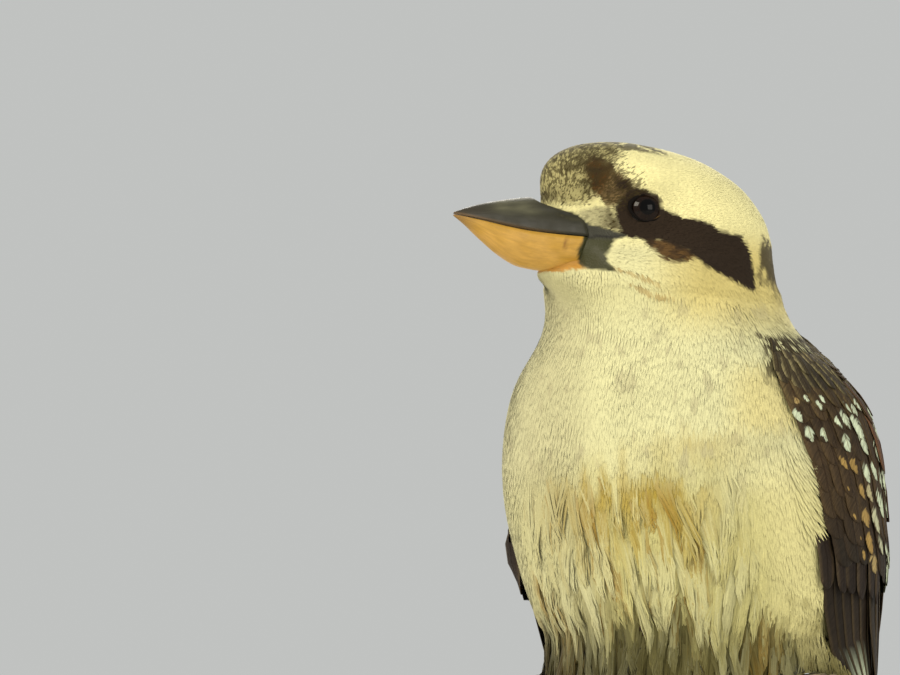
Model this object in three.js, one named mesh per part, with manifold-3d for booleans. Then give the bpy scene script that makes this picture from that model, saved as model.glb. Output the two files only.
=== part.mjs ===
import * as THREE from "three";
import { mergeVertices } from "three/addons/utils/BufferGeometryUtils.js";
import Module from "manifold-3d";

// A laughing kookaburra, life size, perched on a cut length of branch on a plain display stand.
// Millimetres, +Z up. The origin is the centre of the stand's underside, and the branch runs along X.
// The bird's body faces -Y, its left is +X, and it is drawn from Z = 0 at the top of the branch.
// Its head is turned to its right.

const wasm = await Module();
wasm.setup();

// Driving sizes
const GAP = 0.3; // clearance kept between neighbouring pieces
const PERCH_TOP = 172; // height of the branch's top above the floor
const BIRD_Y = -2; // where the bird's own origin stands over the base
const BASE = { length: 210, width: 190, thick: 12, corner: 28, bevel: 1.5 };
const ROD = { radius: 4, spread: 42, socket: 7 };
const PERCH = { y: -6, radius: 20, length: 138, bark: 0.6, sides: 20, rings: 6 };
const EYE = { radius: 8.2, proud: 2.0, forward: 5, up: 11.3, lidRadius: 6.3, lidThick: 1.3, lidSunk: 0.35 };
const BILL = { front: 76.2, root: 8.5, width: 19.5 };
const HEAD = { x: -10, y: -37, z: 169.5, yaw: -36, pitch: 6.5 };
const WING = { core: 4, thin: 3.8, top: 126, end: -6 };

const rad = THREE.MathUtils.degToRad;
const vec = (x, y, z) => new THREE.Vector3(x, y, z);
const clamp01 = (t) => Math.min(1, Math.max(0, t));
const smooth = (a, b, t) => THREE.MathUtils.smoothstep(t, a, b);
const mix = THREE.MathUtils.lerp;

// The small scatter that keeps repeated feathers from being copies, from one seeded generator
const DICE = { first: 20240611, times: 1664525, plus: 1013904223, sides: 2 ** 32 };
let thrown = DICE.first;
function scatter(amount) {
  thrown = (thrown * DICE.times + DICE.plus) % DICE.sides;
  return (thrown / DICE.sides - 0.5) * 2 * amount;
}

// A smooth curve through rows of numbers, by their own order, that never swings past a row
function curve(rows) {
  const n = rows.length;
  const width = rows[0].length;
  const slope = rows.map((_, i) =>
    rows[0].map((_, k) => {
      if (i === 0) return rows[1][k] - rows[0][k];
      if (i === n - 1) return rows[n - 1][k] - rows[n - 2][k];
      const before = rows[i][k] - rows[i - 1][k];
      const after = rows[i + 1][k] - rows[i][k];
      if (before * after <= 0) return 0;
      const most = 3 * Math.min(Math.abs(before), Math.abs(after));
      return Math.sign(before) * Math.min(Math.abs(before + after) / 2, most);
    }),
  );
  return (s) => {
    const t = Math.min(Math.max(s, 0), n - 1 - 1e-9);
    const i = Math.floor(t);
    const u = t - i;
    const next = 3 * u ** 2 - 2 * u ** 3;
    const leave = u ** 3 - 2 * u ** 2 + u;
    const arrive = u ** 3 - u ** 2;
    return Array.from({ length: width }, (_, k) =>
      mix(rows[i][k], rows[i + 1][k], next) + leave * slope[i][k] + arrive * slope[i + 1][k],
    );
  };
}

// The same curve looked up by its first column, which runs one way
function curveBy(rows) {
  const at = curve(rows);
  const sign = Math.sign(rows[1][0] - rows[0][0]);
  return (x) => {
    let low = 0;
    let high = rows.length - 1;
    for (let k = 0; k < 26; k++) {
      const middle = (low + high) / 2;
      if ((at(middle)[0] - x) * sign < 0) low = middle;
      else high = middle;
    }
    return at((low + high) / 2);
  };
}

// Stations of the plumage from the belly to the crown. Each is an egg-shaped section: the height and
// place of its middle, its turn and tilt in degrees, its reach to front and back, its half width,
// and how much narrower it is in front.
const BODY = [
  [5, 0, 23, 0, 0, 22, 18, 26, 0],
  [7, 0, 22, 0, 0, 46, 34, 54, 0],
  [14, 0, 20.5, 0, 0, 56, 42, 66, 0],
  [28, 0, 18, 0, 0, 61, 46, 72, 0],
  [48, 0, 13, 0, 0, 63, 51, 76, 0],
  [72, 0, 7, 0, 0, 65, 54, 78, 0],
  [98, 0, 3, -2, 0, 63, 52, 76, 0],
  [116, 0, -3, -5, 0, 58, 48, 68, 0],
  [130, 0, -9, -11, 1, 51, 47, 56, 0],
  [141, -1, -14, -18, 2, 49, 50, 48, 0.02],
  [150, -2, -20, -26, 3.5, 49, 51, 44, 0.08],
  [158, -2.4, -24, -32, 5, 50, 50, 40, 0.2],
  [166, -2.2, -25.5, -35, 6, 49, 48.5, 36, 0.38],
  [174, -2.4, -26, -36, 6.5, 49, 48, 34.5, 0.44],
  [182, -3.2, -27, -36, 6.5, 48, 47, 33.5, 0.42],
  [189, -4.2, -28.5, -36, 6.5, 46, 45, 31.5, 0.34],
  [195, -5.4, -30.2, -36, 6.5, 42, 42, 29, 0.26],
  [200, -6.4, -31.6, -36, 6.5, 36.5, 36.5, 24.5, 0.2],
  [204.3, -7.2, -33, -36, 6.5, 28.5, 29, 18.5, 0.1],
  [206.8, -7.8, -33.6, -36, 6.5, 18.5, 19, 12, 0],
  [208.2, -8, -34, -36, 6.5, 6, 6, 4, 0],
];
const NECK_FROM = 8.2; // station numbers where the torso, neck and head are parted
const HEAD_FROM = 10.2;
const bodyAt = curve(BODY);

// Head axes: forward along the bill, to the bird's left, and up
const headAxes = (() => {
  const yaw = rad(HEAD.yaw);
  const pitch = rad(HEAD.pitch);
  const forward = vec(Math.sin(yaw) * Math.cos(pitch), -Math.cos(yaw) * Math.cos(pitch), Math.sin(pitch));
  const left = vec(Math.cos(yaw), Math.sin(yaw), 0);
  return { origin: vec(HEAD.x, HEAD.y, HEAD.z), forward, left, up: left.clone().cross(forward).negate() };
})();
const turned = (f, l, u) =>
  vec(0, 0, 0)
    .addScaledVector(headAxes.forward, f)
    .addScaledVector(headAxes.left, l)
    .addScaledVector(headAxes.up, u);
const inHead = (f, l, u) => turned(f, l, u).add(headAxes.origin);
const headCoords = (p) => {
  const d = p.clone().sub(headAxes.origin);
  return [d.dot(headAxes.forward), d.dot(headAxes.left), d.dot(headAxes.up)];
};

// Swellings and hollows of the face: place forward, out and up in the head's axes, reach, height
const FACE = [
  [5, 27, 22, 9, 1.6], // brow
  [-8, 31, -9, 15, 2.4], // cheek
  [19, 17, 5, 9, -1.8], // lores
  [7, 27, 13, 6, -1.0], // eye hollow
];

// A point of the plumage: station s from belly to crown, angle phi from the front towards the left
function skin(s, phi) {
  const [z, x, y, yawDeg, pitchDeg, front, back, half, egg] = bodyAt(s);
  const yaw = rad(yawDeg);
  const pitch = rad(pitchDeg);
  const c = Math.cos(phi);
  const along = (c > 0 ? front : back) * c;
  const across = half * Math.sin(phi) * (1 - egg * c);
  const forward = vec(Math.sin(yaw) * Math.cos(pitch), -Math.cos(yaw) * Math.cos(pitch), Math.sin(pitch));
  const left = vec(Math.cos(yaw), Math.sin(yaw), 0);
  const p = vec(x, y, z).addScaledVector(forward, along).addScaledVector(left, across);
  if (s > HEAD_FROM - 1) {
    const [f, l, u] = headCoords(p);
    const out = forward.clone().multiplyScalar(c * 0.4).addScaledVector(left, Math.sin(phi)).normalize();
    for (const [bf, bl, bu, reach, height] of FACE) {
      const d2 = (f - bf) ** 2 + (Math.abs(l) - bl) ** 2 + (u - bu) ** 2;
      p.addScaledVector(out, height * Math.exp(-d2 / (reach * reach)));
    }
  }
  return p;
}

// Mesh makers

// A closed solid through rings of points that run anticlockwise seen from the last ring
function loft(rings) {
  const n = rings[0].length;
  const points = rings.flat();
  const index = [];
  for (let r = 0; r + 1 < rings.length; r++)
    for (let i = 0; i < n; i++) {
      const a = r * n + i;
      const b = r * n + ((i + 1) % n);
      index.push(a, b, b + n, a, b + n, a + n);
    }
  const middle = (ring) => ring.reduce((m, p) => m.add(p), vec(0, 0, 0)).divideScalar(n);
  const first = points.push(middle(rings[0])) - 1;
  const last = points.push(middle(rings[rings.length - 1])) - 1;
  const top = (rings.length - 1) * n;
  for (let i = 0; i < n; i++) {
    const j = (i + 1) % n;
    index.push(first, j, i, last, top + i, top + j);
  }
  return meshOf(points, index);
}

function meshOf(points, index) {
  const geometry = new THREE.BufferGeometry();
  const flat = points.flatMap((p) => [p.x, p.y, p.z]);
  geometry.setAttribute("position", new THREE.Float32BufferAttribute(flat, 3));
  geometry.setIndex(index);
  return geometry;
}

// A closed slab between two like grids of points, rows by columns, the upper one seen from outside
// with rows running away and columns running right
function slab(upper, lower) {
  const rows = upper.length;
  const cols = upper[0].length;
  const points = [...upper.flat(), ...lower.flat()];
  const below = rows * cols;
  const at = (r, c) => r * cols + c;
  const index = [];
  for (let r = 0; r + 1 < rows; r++)
    for (let c = 0; c + 1 < cols; c++) {
      const [a, b, d, e] = [at(r, c), at(r, c + 1), at(r + 1, c + 1), at(r + 1, c)];
      index.push(a, b, d, a, d, e);
      index.push(a + below, d + below, b + below, a + below, e + below, d + below);
    }
  const rim = [];
  for (let c = 0; c < cols - 1; c++) rim.push(at(0, c));
  for (let r = 0; r < rows - 1; r++) rim.push(at(r, cols - 1));
  for (let c = cols - 1; c > 0; c--) rim.push(at(rows - 1, c));
  for (let r = rows - 1; r > 0; r--) rim.push(at(r, 0));
  rim.forEach((a, k) => {
    const b = rim[(k + 1) % rim.length];
    index.push(b, a, a + below, b, a + below, b + below);
  });
  return meshOf(points, index);
}

// Booleans
function solid(geometry) {
  const plain = geometry.index ? geometry.clone() : geometry;
  for (const name of Object.keys(plain.attributes)) {
    if (name !== "position") plain.deleteAttribute(name);
  }
  const merged = mergeVertices(plain, 1e-4);
  const vertProperties = merged.attributes.position.array;
  const triVerts = new Uint32Array(merged.index.array);
  const make = () => new wasm.Manifold(new wasm.Mesh({ numProp: 3, vertProperties, triVerts }));
  const made = make();
  if (made.volume() > 0) return made;
  // a shape wound the other way round is turned inside out
  for (let i = 0; i < triVerts.length; i += 3) {
    const second = triVerts[i + 1];
    triVerts[i + 1] = triVerts[i + 2];
    triVerts[i + 2] = second;
  }
  return make();
}
const joined = (solids) => solids.reduce((sum, next) => sum.add(next));
const largest = (made) => made.decompose().reduce((a, b) => (a.volume() >= b.volume() ? a : b));
function geometryOf(made) {
  const mesh = made.getMesh();
  const geometry = new THREE.BufferGeometry();
  const corners = new Float32Array(mesh.vertProperties);
  geometry.setAttribute("position", new THREE.BufferAttribute(corners, 3));
  geometry.setIndex(new THREE.BufferAttribute(new Uint32Array(mesh.triVerts), 1));
  return geometry;
}

// Plumage colours
function paint(color, roughness, metalness = 0) {
  return new THREE.MeshStandardMaterial({ color, roughness, metalness });
}
const CREAM = paint(0xe6dfb4, 0.9);
const DARK = paint(0x3a2c22, 0.8);
const HORN = paint(0x4a4c4e, 0.45);
const PALE_HORN = paint(0xd99a5b, 0.45);
const EYE_BROWN = paint(0x1d1210, 0.1);
const RUFOUS = paint(0x8a5a34, 0.8);
const SCALE_SKIN = paint(0x8d8a6e, 0.6);
const BARK = paint(0x6d6450, 0.95);
const STAND_WOOD = paint(0x3b2a20, 0.4);
const STEEL = paint(0x8f9296, 0.3, 1);

const kookaburra = new THREE.Group();
const bird = new THREE.Group();
bird.position.set(0, BIRD_Y, PERCH_TOP);
kookaburra.add(bird);
function place(group, name, made, material) {
  const mesh = new THREE.Mesh(geometryOf(largest(made)), material);
  mesh.name = name;
  group.add(mesh);
}

// Plumage between two stations, with flat ends
const RING_SIDES = 28;
function trunk(from, to, steps) {
  const rings = [];
  for (let i = 0; i <= steps; i++) {
    const s = mix(from, to, i / steps);
    rings.push(Array.from({ length: RING_SIDES }, (_, k) => skin(s, (2 * Math.PI * k) / RING_SIDES)));
  }
  return solid(loft(rings));
}

// Wings

// The folded wing's outer surface: height, its middle's y, half width, reach to the back,
// and the angles of its front and back edges
const FOLD = curveBy([
  [-68, 64, 34, 21, 140, 158],
  [-54, 54, 43, 30, 127, 159],
  [-38, 43, 54, 39, 112, 160],
  [-22, 34, 62, 45, 96, 161],
  [-6, 27, 67, 50, 79, 162],
  [10, 22, 70, 53, 65, 163],
  [28, 18, 74, 54.5, 61, 164],
  [48, 13, 77, 57, 59, 165],
  [72, 7, 77, 58, 57, 165],
  [98, 3, 73.5, 54, 54.5, 162],
  [116, -3, 64, 49, 58, 154],
  [130, -9, 53, 46, 70, 128],
]);
// The breast feathers puff out over the right wing, so its front edge lies this many degrees further back
const RIGHT_EDGE = 17;
const REACH_IN_FRONT = 62; // the fold's reach to the front, where it comes round the side
// A point of the fold: side is 1 for the left wing, v runs from the front edge to the back edge
function fold(side, z, v, lift = 0) {
  const [, y, half, back, leftEdge, backEdge] = FOLD(z);
  const frontEdge = leftEdge + (side < 0 ? RIGHT_EDGE * smooth(0, 50, z) : 0);
  const phi = rad(mix(frontEdge, backEdge, v));
  const reach = Math.cos(phi) > 0 ? REACH_IN_FRONT : back;
  const p = vec(side * half * Math.sin(phi), y - reach * Math.cos(phi), z);
  const normal = vec(p.x / (half * half), (p.y - y) / (back * back), 0).normalize();
  return p.addScaledVector(normal, lift);
}

// A slab of the fold between two lifts, each a function of height
function foldSlab(side, zs, vs, outer, inner) {
  const grid = (lift) => zs.map((z) => vs.map((v) => fold(side, z, v, lift(z))));
  return solid(slab(grid(outer), grid(inner)));
}

// Rounding of every vane: where its stations lie along it, and its width there
const VANE = { at: [0, 0.3, 0.68, 0.9, 1], shape: [0.6, 0.95, 1, 0.8, 0.36], thick: 0.6 };
// How far the core bulges out of the fold where small feathers cover the shoulder
const shoulder = (z) => 2.4 * smooth(66, 96, z) - 1.2 * smooth(112, 130, z);

// One vane laid on the fold: root and tip heights, its place across from front to back, its width as a
// share of the fold and how far its tip stands off. Its rear edge tucks under the next vane.
function foldVane(side, { rootZ, tipZ, v, tipV, width, tipWidth, root, lift, tuck }) {
  const upper = [];
  const lower = [];
  VANE.at.forEach((t, i) => {
    const z = mix(rootZ, tipZ, t);
    const rise = mix(root, lift, smooth(0, 0.55, t));
    const edges = [-0.5, 0.5].map((k) => [
      Math.min(0.985, Math.max(0, mix(v, tipV, t) + k * mix(width, tipWidth, t) * VANE.shape[i])),
      rise - (k > 0 ? tuck : 0),
    ]);
    upper.push(edges.map(([w, l]) => fold(side, z, w, l)));
    lower.push(edges.map(([w, l]) => fold(side, z, w, l - VANE.thick)));
  });
  return solid(slab(upper, lower));
}

// Rows of feathers, each from the front of the wing to the back: primaries, secondaries, greater and
// median coverts, then the scapulars
const ROWS = [
  {
    count: 6, v: [0.08, 0.42], tipV: [0.14, 0.64], rootZ: [20, 26], tipZ: [-66, -38],
    root: [-2.4, -0.4], lift: [-2.6, 0.4], tuck: 0.8, lap: 2,
  },
  {
    count: 8, v: [0.36, 0.94], tipV: [0.46, 0.9], rootZ: [48, 52], tipZ: [-40, -12],
    root: [-1.8, -1.6], lift: [2.2, 3.4], tuck: 1.1, lap: 1.5,
  },
  {
    count: 6, v: [0.07, 0.74], rootZ: [72, 74], tipZ: [33, 32],
    root: [-1.2, -1.2], lift: [2.6, 2.8], tuck: 1.3, lap: 1.35,
  },
  {
    count: 6, v: [0.08, 0.7], rootZ: [97, 99], tipZ: [64, 62],
    root: [0.4, 0.4], lift: [3.2, 3.3], tuck: 1.3, lap: 1.35,
  },
  {
    count: 3, v: [0.74, 0.9], rootZ: [88, 86], tipZ: [34, 38],
    root: [0, 0.4], lift: [4, 4.4], tuck: 0.9, lap: 1.5,
  },
  {
    count: 3, v: [0.7, 0.88], rootZ: [112, 106], tipZ: [71, 73],
    root: [0.4, 0.6], lift: [4.2, 4.6], tuck: 0.9, lap: 1.5,
  },
];
const coreInner = (z) => -mix(WING.thin, WING.core, smooth(-10, 30, z));
const CORE_Z = [WING.end, 14, 34, 66, 98, 116, WING.top];
const CORE_V = [0.02, 0.26, 0.5, 0.75, 1];

function wing(side) {
  const pieces = [foldSlab(side, CORE_Z, CORE_V, shoulder, coreInner)];
  for (const row of ROWS) {
    const tipV = row.tipV ?? row.v;
    const pitch = (range) => (row.lap * (range[1] - range[0])) / (row.count - 1);
    for (let i = 0; i < row.count; i++) {
      const pick = (pair) => mix(pair[0], pair[1], i / (row.count - 1));
      pieces.push(
        foldVane(side, {
          rootZ: pick(row.rootZ),
          tipZ: pick(row.tipZ) + scatter(1),
          v: pick(row.v),
          tipV: pick(tipV),
          width: pitch(row.v),
          tipWidth: pitch(tipV),
          root: pick(row.root),
          lift: pick(row.lift),
          tuck: row.tuck,
        }),
      );
    }
  }
  return joined(pieces);
}

// The bed the wing lies in: the core grown by the gap, and everything outside it
const BED = { front: -0.035, back: 1.022, outside: 9, under: GAP + 0.1 };
function wingBed(side) {
  const zs = [...CORE_Z.slice(0, -1), WING.top + GAP];
  const vs = [BED.front, ...CORE_V.slice(1, -1), BED.back];
  const outer = () => BED.outside;
  const inner = (z) => coreInner(z) - BED.under;
  return foldSlab(side, zs, vs, outer, inner);
}

// Belly locks: wet, pointed locks in tiers that hang over the branch
const LOCK = {
  at: [0, 0.35, 0.68, 0.9, 1],
  shape: [0.7, 1, 0.72, 0.36, 0.05],
  thick: [2, 2, 1.5, 1, 0.5],
  axisY: 18, // locks point away from a line at this y
  lean: 0.05,
  sunk: 1.1, // root below the plumage, and tip above it
  proud: 2.4,
  beside: -5, // lowest tip in front of the branch
  over: 1.5, // lowest tip above the branch
  margin: 6,
};
const LOCK_TIERS = [
  { count: 8, reach: 58, rootZ: 62, length: 34, width: 16 },
  { count: 9, reach: 62, rootZ: 42, length: 34, width: 15 },
  { count: 9, reach: 60, rootZ: 22, length: 24, width: 13.5 },
];
function lock(rootZ, phi, length, width) {
  const root = skinLevel(rootZ, phi);
  const out = vec(root.x, root.y - LOCK.axisY, 0).normalize();
  const side = vec(0, 0, 1).cross(out).normalize();
  const lean = scatter(LOCK.lean) * length;
  // a lock beside the branch hangs past its top, and one over it stops short of it
  const lowest = root.y < PERCH.y - PERCH.radius - LOCK.margin ? LOCK.beside : LOCK.over;
  const upper = [];
  const lower = [];
  LOCK.at.forEach((t, i) => {
    const z = Math.max(root.z - length * t, lowest);
    const under = skinLevel(Math.max(z, BODY[1][0] + 2), phi);
    const proud = mix(-LOCK.sunk, LOCK.proud, t);
    const middle = vec(under.x, under.y, z).addScaledVector(out, proud).addScaledVector(side, lean * t * t);
    const edges = [-0.5, 0.5].map((k) => middle.clone().addScaledVector(side, k * width * LOCK.shape[i]));
    upper.push(edges);
    lower.push(edges.map((p) => p.clone().addScaledVector(out, -LOCK.thick[i])));
  });
  return solid(slab(upper, lower));
}
// The plumage point at a height on the lower body
function skinLevel(z, phi) {
  let low = 0;
  let high = 6;
  for (let k = 0; k < 22; k++) {
    const middle = (low + high) / 2;
    if (bodyAt(middle)[0] < z) low = middle;
    else high = middle;
  }
  return skin((low + high) / 2, phi);
}
function bellyLocks() {
  const locks = [];
  for (const tier of LOCK_TIERS)
    for (let i = 0; i < tier.count; i++) {
      const degrees = mix(-tier.reach, tier.reach, i / (tier.count - 1)) + scatter(1);
      locks.push(lock(tier.rootZ + scatter(2), rad(degrees), tier.length + scatter(5), tier.width));
    }
  return locks;
}

// Bill, in the head's axes. Each row: forward, culmen height, mouth height, keel height, half width
const BILL_ROWS = curveBy([
  [BILL.root, 13.2, -0.9, -10.5, BILL.width],
  [22, 14.2, -2.2, -14.6, 14.4],
  [34, 13.0, -2.7, -16.9, 11.6],
  [44, 11.3, -2.8, -16.7, 9.4],
  [54, 8.9, -2.3, -13.6, 7.0],
  [64, 5.9, -1.2, -8.0, 4.4],
  [71, 3.2, -0.5, -3.6, 2.4],
  [BILL.front, 0.7, -0.1, -0.9, 0.5],
]);
const BILL_STEPS = [0, 14, 26, 36, 46, 55, 62, 68];
const BILL_SIDES = 9;
const BILL_ROUND = { upper: 0.95, lower: 0.8 }; // smaller is fuller at the sides
// grow swells the outline, for the socket in the head
function mandible(upper, grow = 0) {
  const rings = BILL_STEPS.map((step, i) => {
    const f = Math.min(BILL.root + step, BILL.front) - (i === 0 ? grow : 0);
    const [, culmen, mouth, keel, half] = BILL_ROWS(Math.max(f, BILL.root));
    const height = (upper ? culmen - mouth : mouth - keel) + 2 * grow - GAP / 2;
    const base = mouth + (upper ? GAP / 2 - grow : -GAP / 2 + grow);
    const ring = [];
    for (let k = 0; k <= BILL_SIDES; k++) {
      const a = (Math.PI * k) / BILL_SIDES;
      const across = (half + grow) * Math.cos(a);
      const rise = height * Math.pow(Math.sin(a), upper ? BILL_ROUND.upper : BILL_ROUND.lower);
      ring.push(inHead(f, across, base + (upper ? rise : -rise)));
    }
    return ring;
  });
  return solid(loft(rings));
}
// Nostril: a slit low on each side of the upper bill, its middle and half sizes in the head's axes
const NOSTRIL = { forward: 29.9, out: 10.4, up: 7.1, half: [3.6, 1.6, 1.0] };
function nostril(side) {
  const slit = new THREE.SphereGeometry(1, 8, 6);
  slit.scale(...NOSTRIL.half);
  const pose = new THREE.Matrix4().makeBasis(headAxes.forward, headAxes.left, headAxes.up);
  pose.setPosition(inHead(NOSTRIL.forward, side * NOSTRIL.out, NOSTRIL.up));
  return solid(slit.applyMatrix4(pose));
}

// Eyes: where the ball sits, and the way it looks, mostly out and a little forward
const LOOK = { forward: 0.35, out: 0.93, up: 0.08 };
function eyePlace(side) {
  const look = turned(LOOK.forward, side * LOOK.out, LOOK.up).normalize();
  const surface = plumageSide(EYE.forward, EYE.up, side);
  const centre = surface.clone().addScaledVector(look, EYE.proud - EYE.radius);
  return { look, surface, centre };
}
// The point of the head's side nearest to a place forward and up
function plumageSide(f, u, side) {
  let best = null;
  let least = Infinity;
  for (let s = HEAD_FROM; s < BODY.length - 1; s += 0.05)
    for (let k = 20; k < 100; k++) {
      const p = skin(s, (side * Math.PI * k) / 120);
      const [pf, , pu] = headCoords(p);
      const d = (pf - f) ** 2 + (pu - u) ** 2;
      if (d < least) {
        least = d;
        best = p;
      }
    }
  return best;
}
function ball(centre, radius, rings = 9, sides = 15) {
  const geometry = new THREE.SphereGeometry(radius, sides, rings);
  geometry.translate(centre.x, centre.y, centre.z);
  return solid(geometry);
}
const LID_OVAL = [1.06, 0.94, 1];
function lids(side) {
  const { look, surface } = eyePlace(side);
  const ring = new THREE.TorusGeometry(EYE.lidRadius, EYE.lidThick, 6, 18);
  ring.scale(...LID_OVAL);
  ring.applyQuaternion(new THREE.Quaternion().setFromUnitVectors(vec(0, 0, 1), look));
  const centre = surface.clone().addScaledVector(look, -EYE.lidSunk);
  ring.translate(centre.x, centre.y, centre.z);
  return solid(ring);
}

// Tail
const TAIL = {
  y: 50,
  z: 14,
  lean: 13.5,
  length: 152,
  pairs: 6,
  width: 17,
  layer: 1.3, // how far each feather lies under the one before it
  top: 4.2,
  root: 14,
  rootSpread: [0.8, 1.3], // the first feather's place across, and the step to each next one
  tipSpread: [2.6, 3.4],
  shorter: 2.2,
  outerShorter: 4,
  bow: 0.07, // how much the fan droops to its sides
};
const TAIL_ROOT = { at: 10, half: [15, 8.5, 19] };
// A point of the tail: along it from the root, across it, and out from its back
function tailPoint(along, across, out) {
  const lean = rad(TAIL.lean);
  return vec(
    across,
    TAIL.y + along * Math.sin(lean) + out * Math.cos(lean),
    TAIL.z - along * Math.cos(lean) + out * Math.sin(lean),
  );
}
function tailVane(from, to, offset, tipOffset, width, out) {
  const upper = [];
  const lower = [];
  VANE.at.forEach((t, i) => {
    const along = mix(from, to, t);
    const middle = mix(offset, tipOffset, t);
    const edges = [-1, 1].map((k) => middle + (k * width * VANE.shape[i]) / 2);
    const bow = (x) => out - Math.abs(x) * TAIL.bow;
    upper.push(edges.map((x) => tailPoint(along, x, bow(x))));
    lower.push(edges.map((x) => tailPoint(along, x, bow(x) - VANE.thick)));
  });
  return solid(slab(upper, lower));
}
function tailRoot(grow = 0) {
  const lump = new THREE.SphereGeometry(1, 12, 7);
  lump.scale(...TAIL_ROOT.half.map((half) => half + grow));
  lump.rotateX(rad(TAIL.lean));
  const middle = tailPoint(TAIL_ROOT.at, 0, 0);
  lump.translate(middle.x, middle.y, middle.z);
  return solid(lump);
}
// Upper and under tail coverts: how far they reach, their spread, their lift, and how much lower the
// outer ones lie
const COVERT = { root: 13, width: 14, fan: 1.3, shorter: 7 };
const TAIL_COVERTS = [
  { reach: 64, spread: 9, out: 6.4, drop: 1.2 },
  { reach: 46, spread: 8, out: 8.2, drop: 1.2 },
  { reach: 52, spread: 8, out: -6.4, drop: -1.2 },
];
function tail() {
  const pieces = [tailRoot()];
  for (let pair = 0; pair < TAIL.pairs; pair++)
    for (const side of [1, -1]) {
      const out = TAIL.top - TAIL.layer * (pair + (side < 0 ? 0.5 : 0));
      const outermost = pair === TAIL.pairs - 1 ? TAIL.outerShorter : 0;
      const length = TAIL.length - pair * TAIL.shorter - outermost;
      const root = side * (TAIL.rootSpread[0] + pair * TAIL.rootSpread[1]);
      const tip = side * (TAIL.tipSpread[0] + pair * TAIL.tipSpread[1]);
      pieces.push(tailVane(TAIL.root, length, root, tip, TAIL.width, out));
    }
  for (const { reach, spread, out, drop } of TAIL_COVERTS)
    for (const k of [-1, 0, 1]) {
      const length = reach - Math.abs(k) * COVERT.shorter;
      const lift = out - Math.abs(k) * drop;
      pieces.push(tailVane(COVERT.root, length, k * spread, k * spread * COVERT.fan, COVERT.width, lift));
    }
  return joined(pieces);
}

// Legs and feet. Each toe lies round the branch, from one angle to another about its axis, and ends
// in a claw; the fourth toe points back.
const TOE_CLEAR = PERCH.radius + PERCH.bark + GAP + 0.15;
const TOE = { base: 3.7, tip: 2.7, claw: 1.7, point: 0.35, hook: 1.6 };
const TOES = [
  { spread: -9.5, from: 4, to: 62, claw: 84 },
  { spread: 0.5, from: 4, to: 74, claw: 97 },
  { spread: 7.2, from: 4, to: 66, claw: 89 },
  { spread: -2.5, from: -4, to: -50, claw: -72 },
];
function tube(points, radii, sides = 7) {
  const rings = points.map((p, i) => {
    const before = points[Math.max(i - 1, 0)];
    const after = points[Math.min(i + 1, points.length - 1)];
    const way = after.clone().sub(before).normalize();
    const across = vec(1, 0, 0).addScaledVector(way, -way.x).normalize();
    const up = way.clone().cross(across);
    return Array.from({ length: sides }, (_, k) => {
      const a = (2 * Math.PI * k) / sides;
      const [c, d] = [radii[i] * Math.cos(a), radii[i] * Math.sin(a)];
      return p.clone().addScaledVector(across, c).addScaledVector(up, d);
    });
  });
  return solid(loft(rings));
}
const LEG = { x: 21, y: -4, ankle: 5.5, knee: 26, kneeY: 8, radius: 3.4 };
function toe(side, { spread, from, to, claw }) {
  const steps = 7;
  const clawFrom = 4;
  const points = [];
  const radii = [];
  for (let i = 0; i <= steps; i++) {
    const t = i / clawFrom;
    const c = (i - clawFrom) / (steps - clawFrom);
    const degrees = c > 0 ? mix(to, claw, c) : mix(from, to, t);
    const r = c > 0 ? mix(TOE.claw + 0.4, TOE.point, c) : mix(TOE.base, TOE.tip, t);
    const reach = TOE_CLEAR + r + (c > 0 ? TOE.hook * Math.sin(Math.PI * c) : 0);
    const x = side * (LEG.x + spread * clamp01(mix(0.15, 1, t)));
    const y = PERCH.y - reach * Math.sin(rad(degrees));
    points.push(vec(x, y, reach * Math.cos(rad(degrees)) - PERCH.radius));
    radii.push(r);
  }
  return tube(points, radii);
}
function tarsus(side, grow = 0) {
  const x = side * LEG.x;
  const middle = vec(x, (LEG.y + LEG.kneeY) / 2, (LEG.ankle + LEG.knee) / 2);
  const radii = [1, 0.9, 1.15].map((share) => LEG.radius * share + grow);
  return tube([vec(x, LEG.y, LEG.ankle), middle, vec(x, LEG.kneeY, LEG.knee + grow)], radii, 10);
}
const leg = (side) => joined([...TOES.map((t) => toe(side, t)), tarsus(side)]);
// Room for a foot in the feathers above it
const FOOT_ROOM = { size: [27, 46, 11], inward: 0.5, forward: 2, up: 3.3 };
function footRoom(side) {
  const box = new THREE.BoxGeometry(...FOOT_ROOM.size);
  box.translate(side * (LEG.x - FOOT_ROOM.inward), PERCH.y - FOOT_ROOM.forward, FOOT_ROOM.up);
  return solid(box);
}

// Assembly of the bird
const beds = [wingBed(1), wingBed(-1)];
const legSockets = [tarsus(1, GAP + 0.1), tarsus(-1, GAP + 0.1), footRoom(1), footRoom(-1)];
let torso = trunk(0, NECK_FROM, 14);
torso = joined([torso, ...bellyLocks()]);
for (const cutter of [...beds, ...legSockets, tailRoot(GAP + 0.15)]) torso = torso.subtract(cutter);

place(bird, "torso", torso, CREAM);
place(bird, "neck", trunk(NECK_FROM + 0.03, HEAD_FROM - 0.04, 5), CREAM);

let head = trunk(HEAD_FROM, BODY.length - 1, 14);
head = joined([head, lids(1), lids(-1)]);
for (const side of [1, -1]) head = head.subtract(ball(eyePlace(side).centre, EYE.radius + GAP));
for (const upper of [true, false]) head = head.subtract(mandible(upper, GAP));
place(bird, "head", head, CREAM);
let billUpper = mandible(true);
for (const side of [1, -1]) billUpper = billUpper.subtract(nostril(side));
place(bird, "bill_upper", billUpper, HORN);
place(bird, "bill_lower", mandible(false), PALE_HORN);

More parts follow.
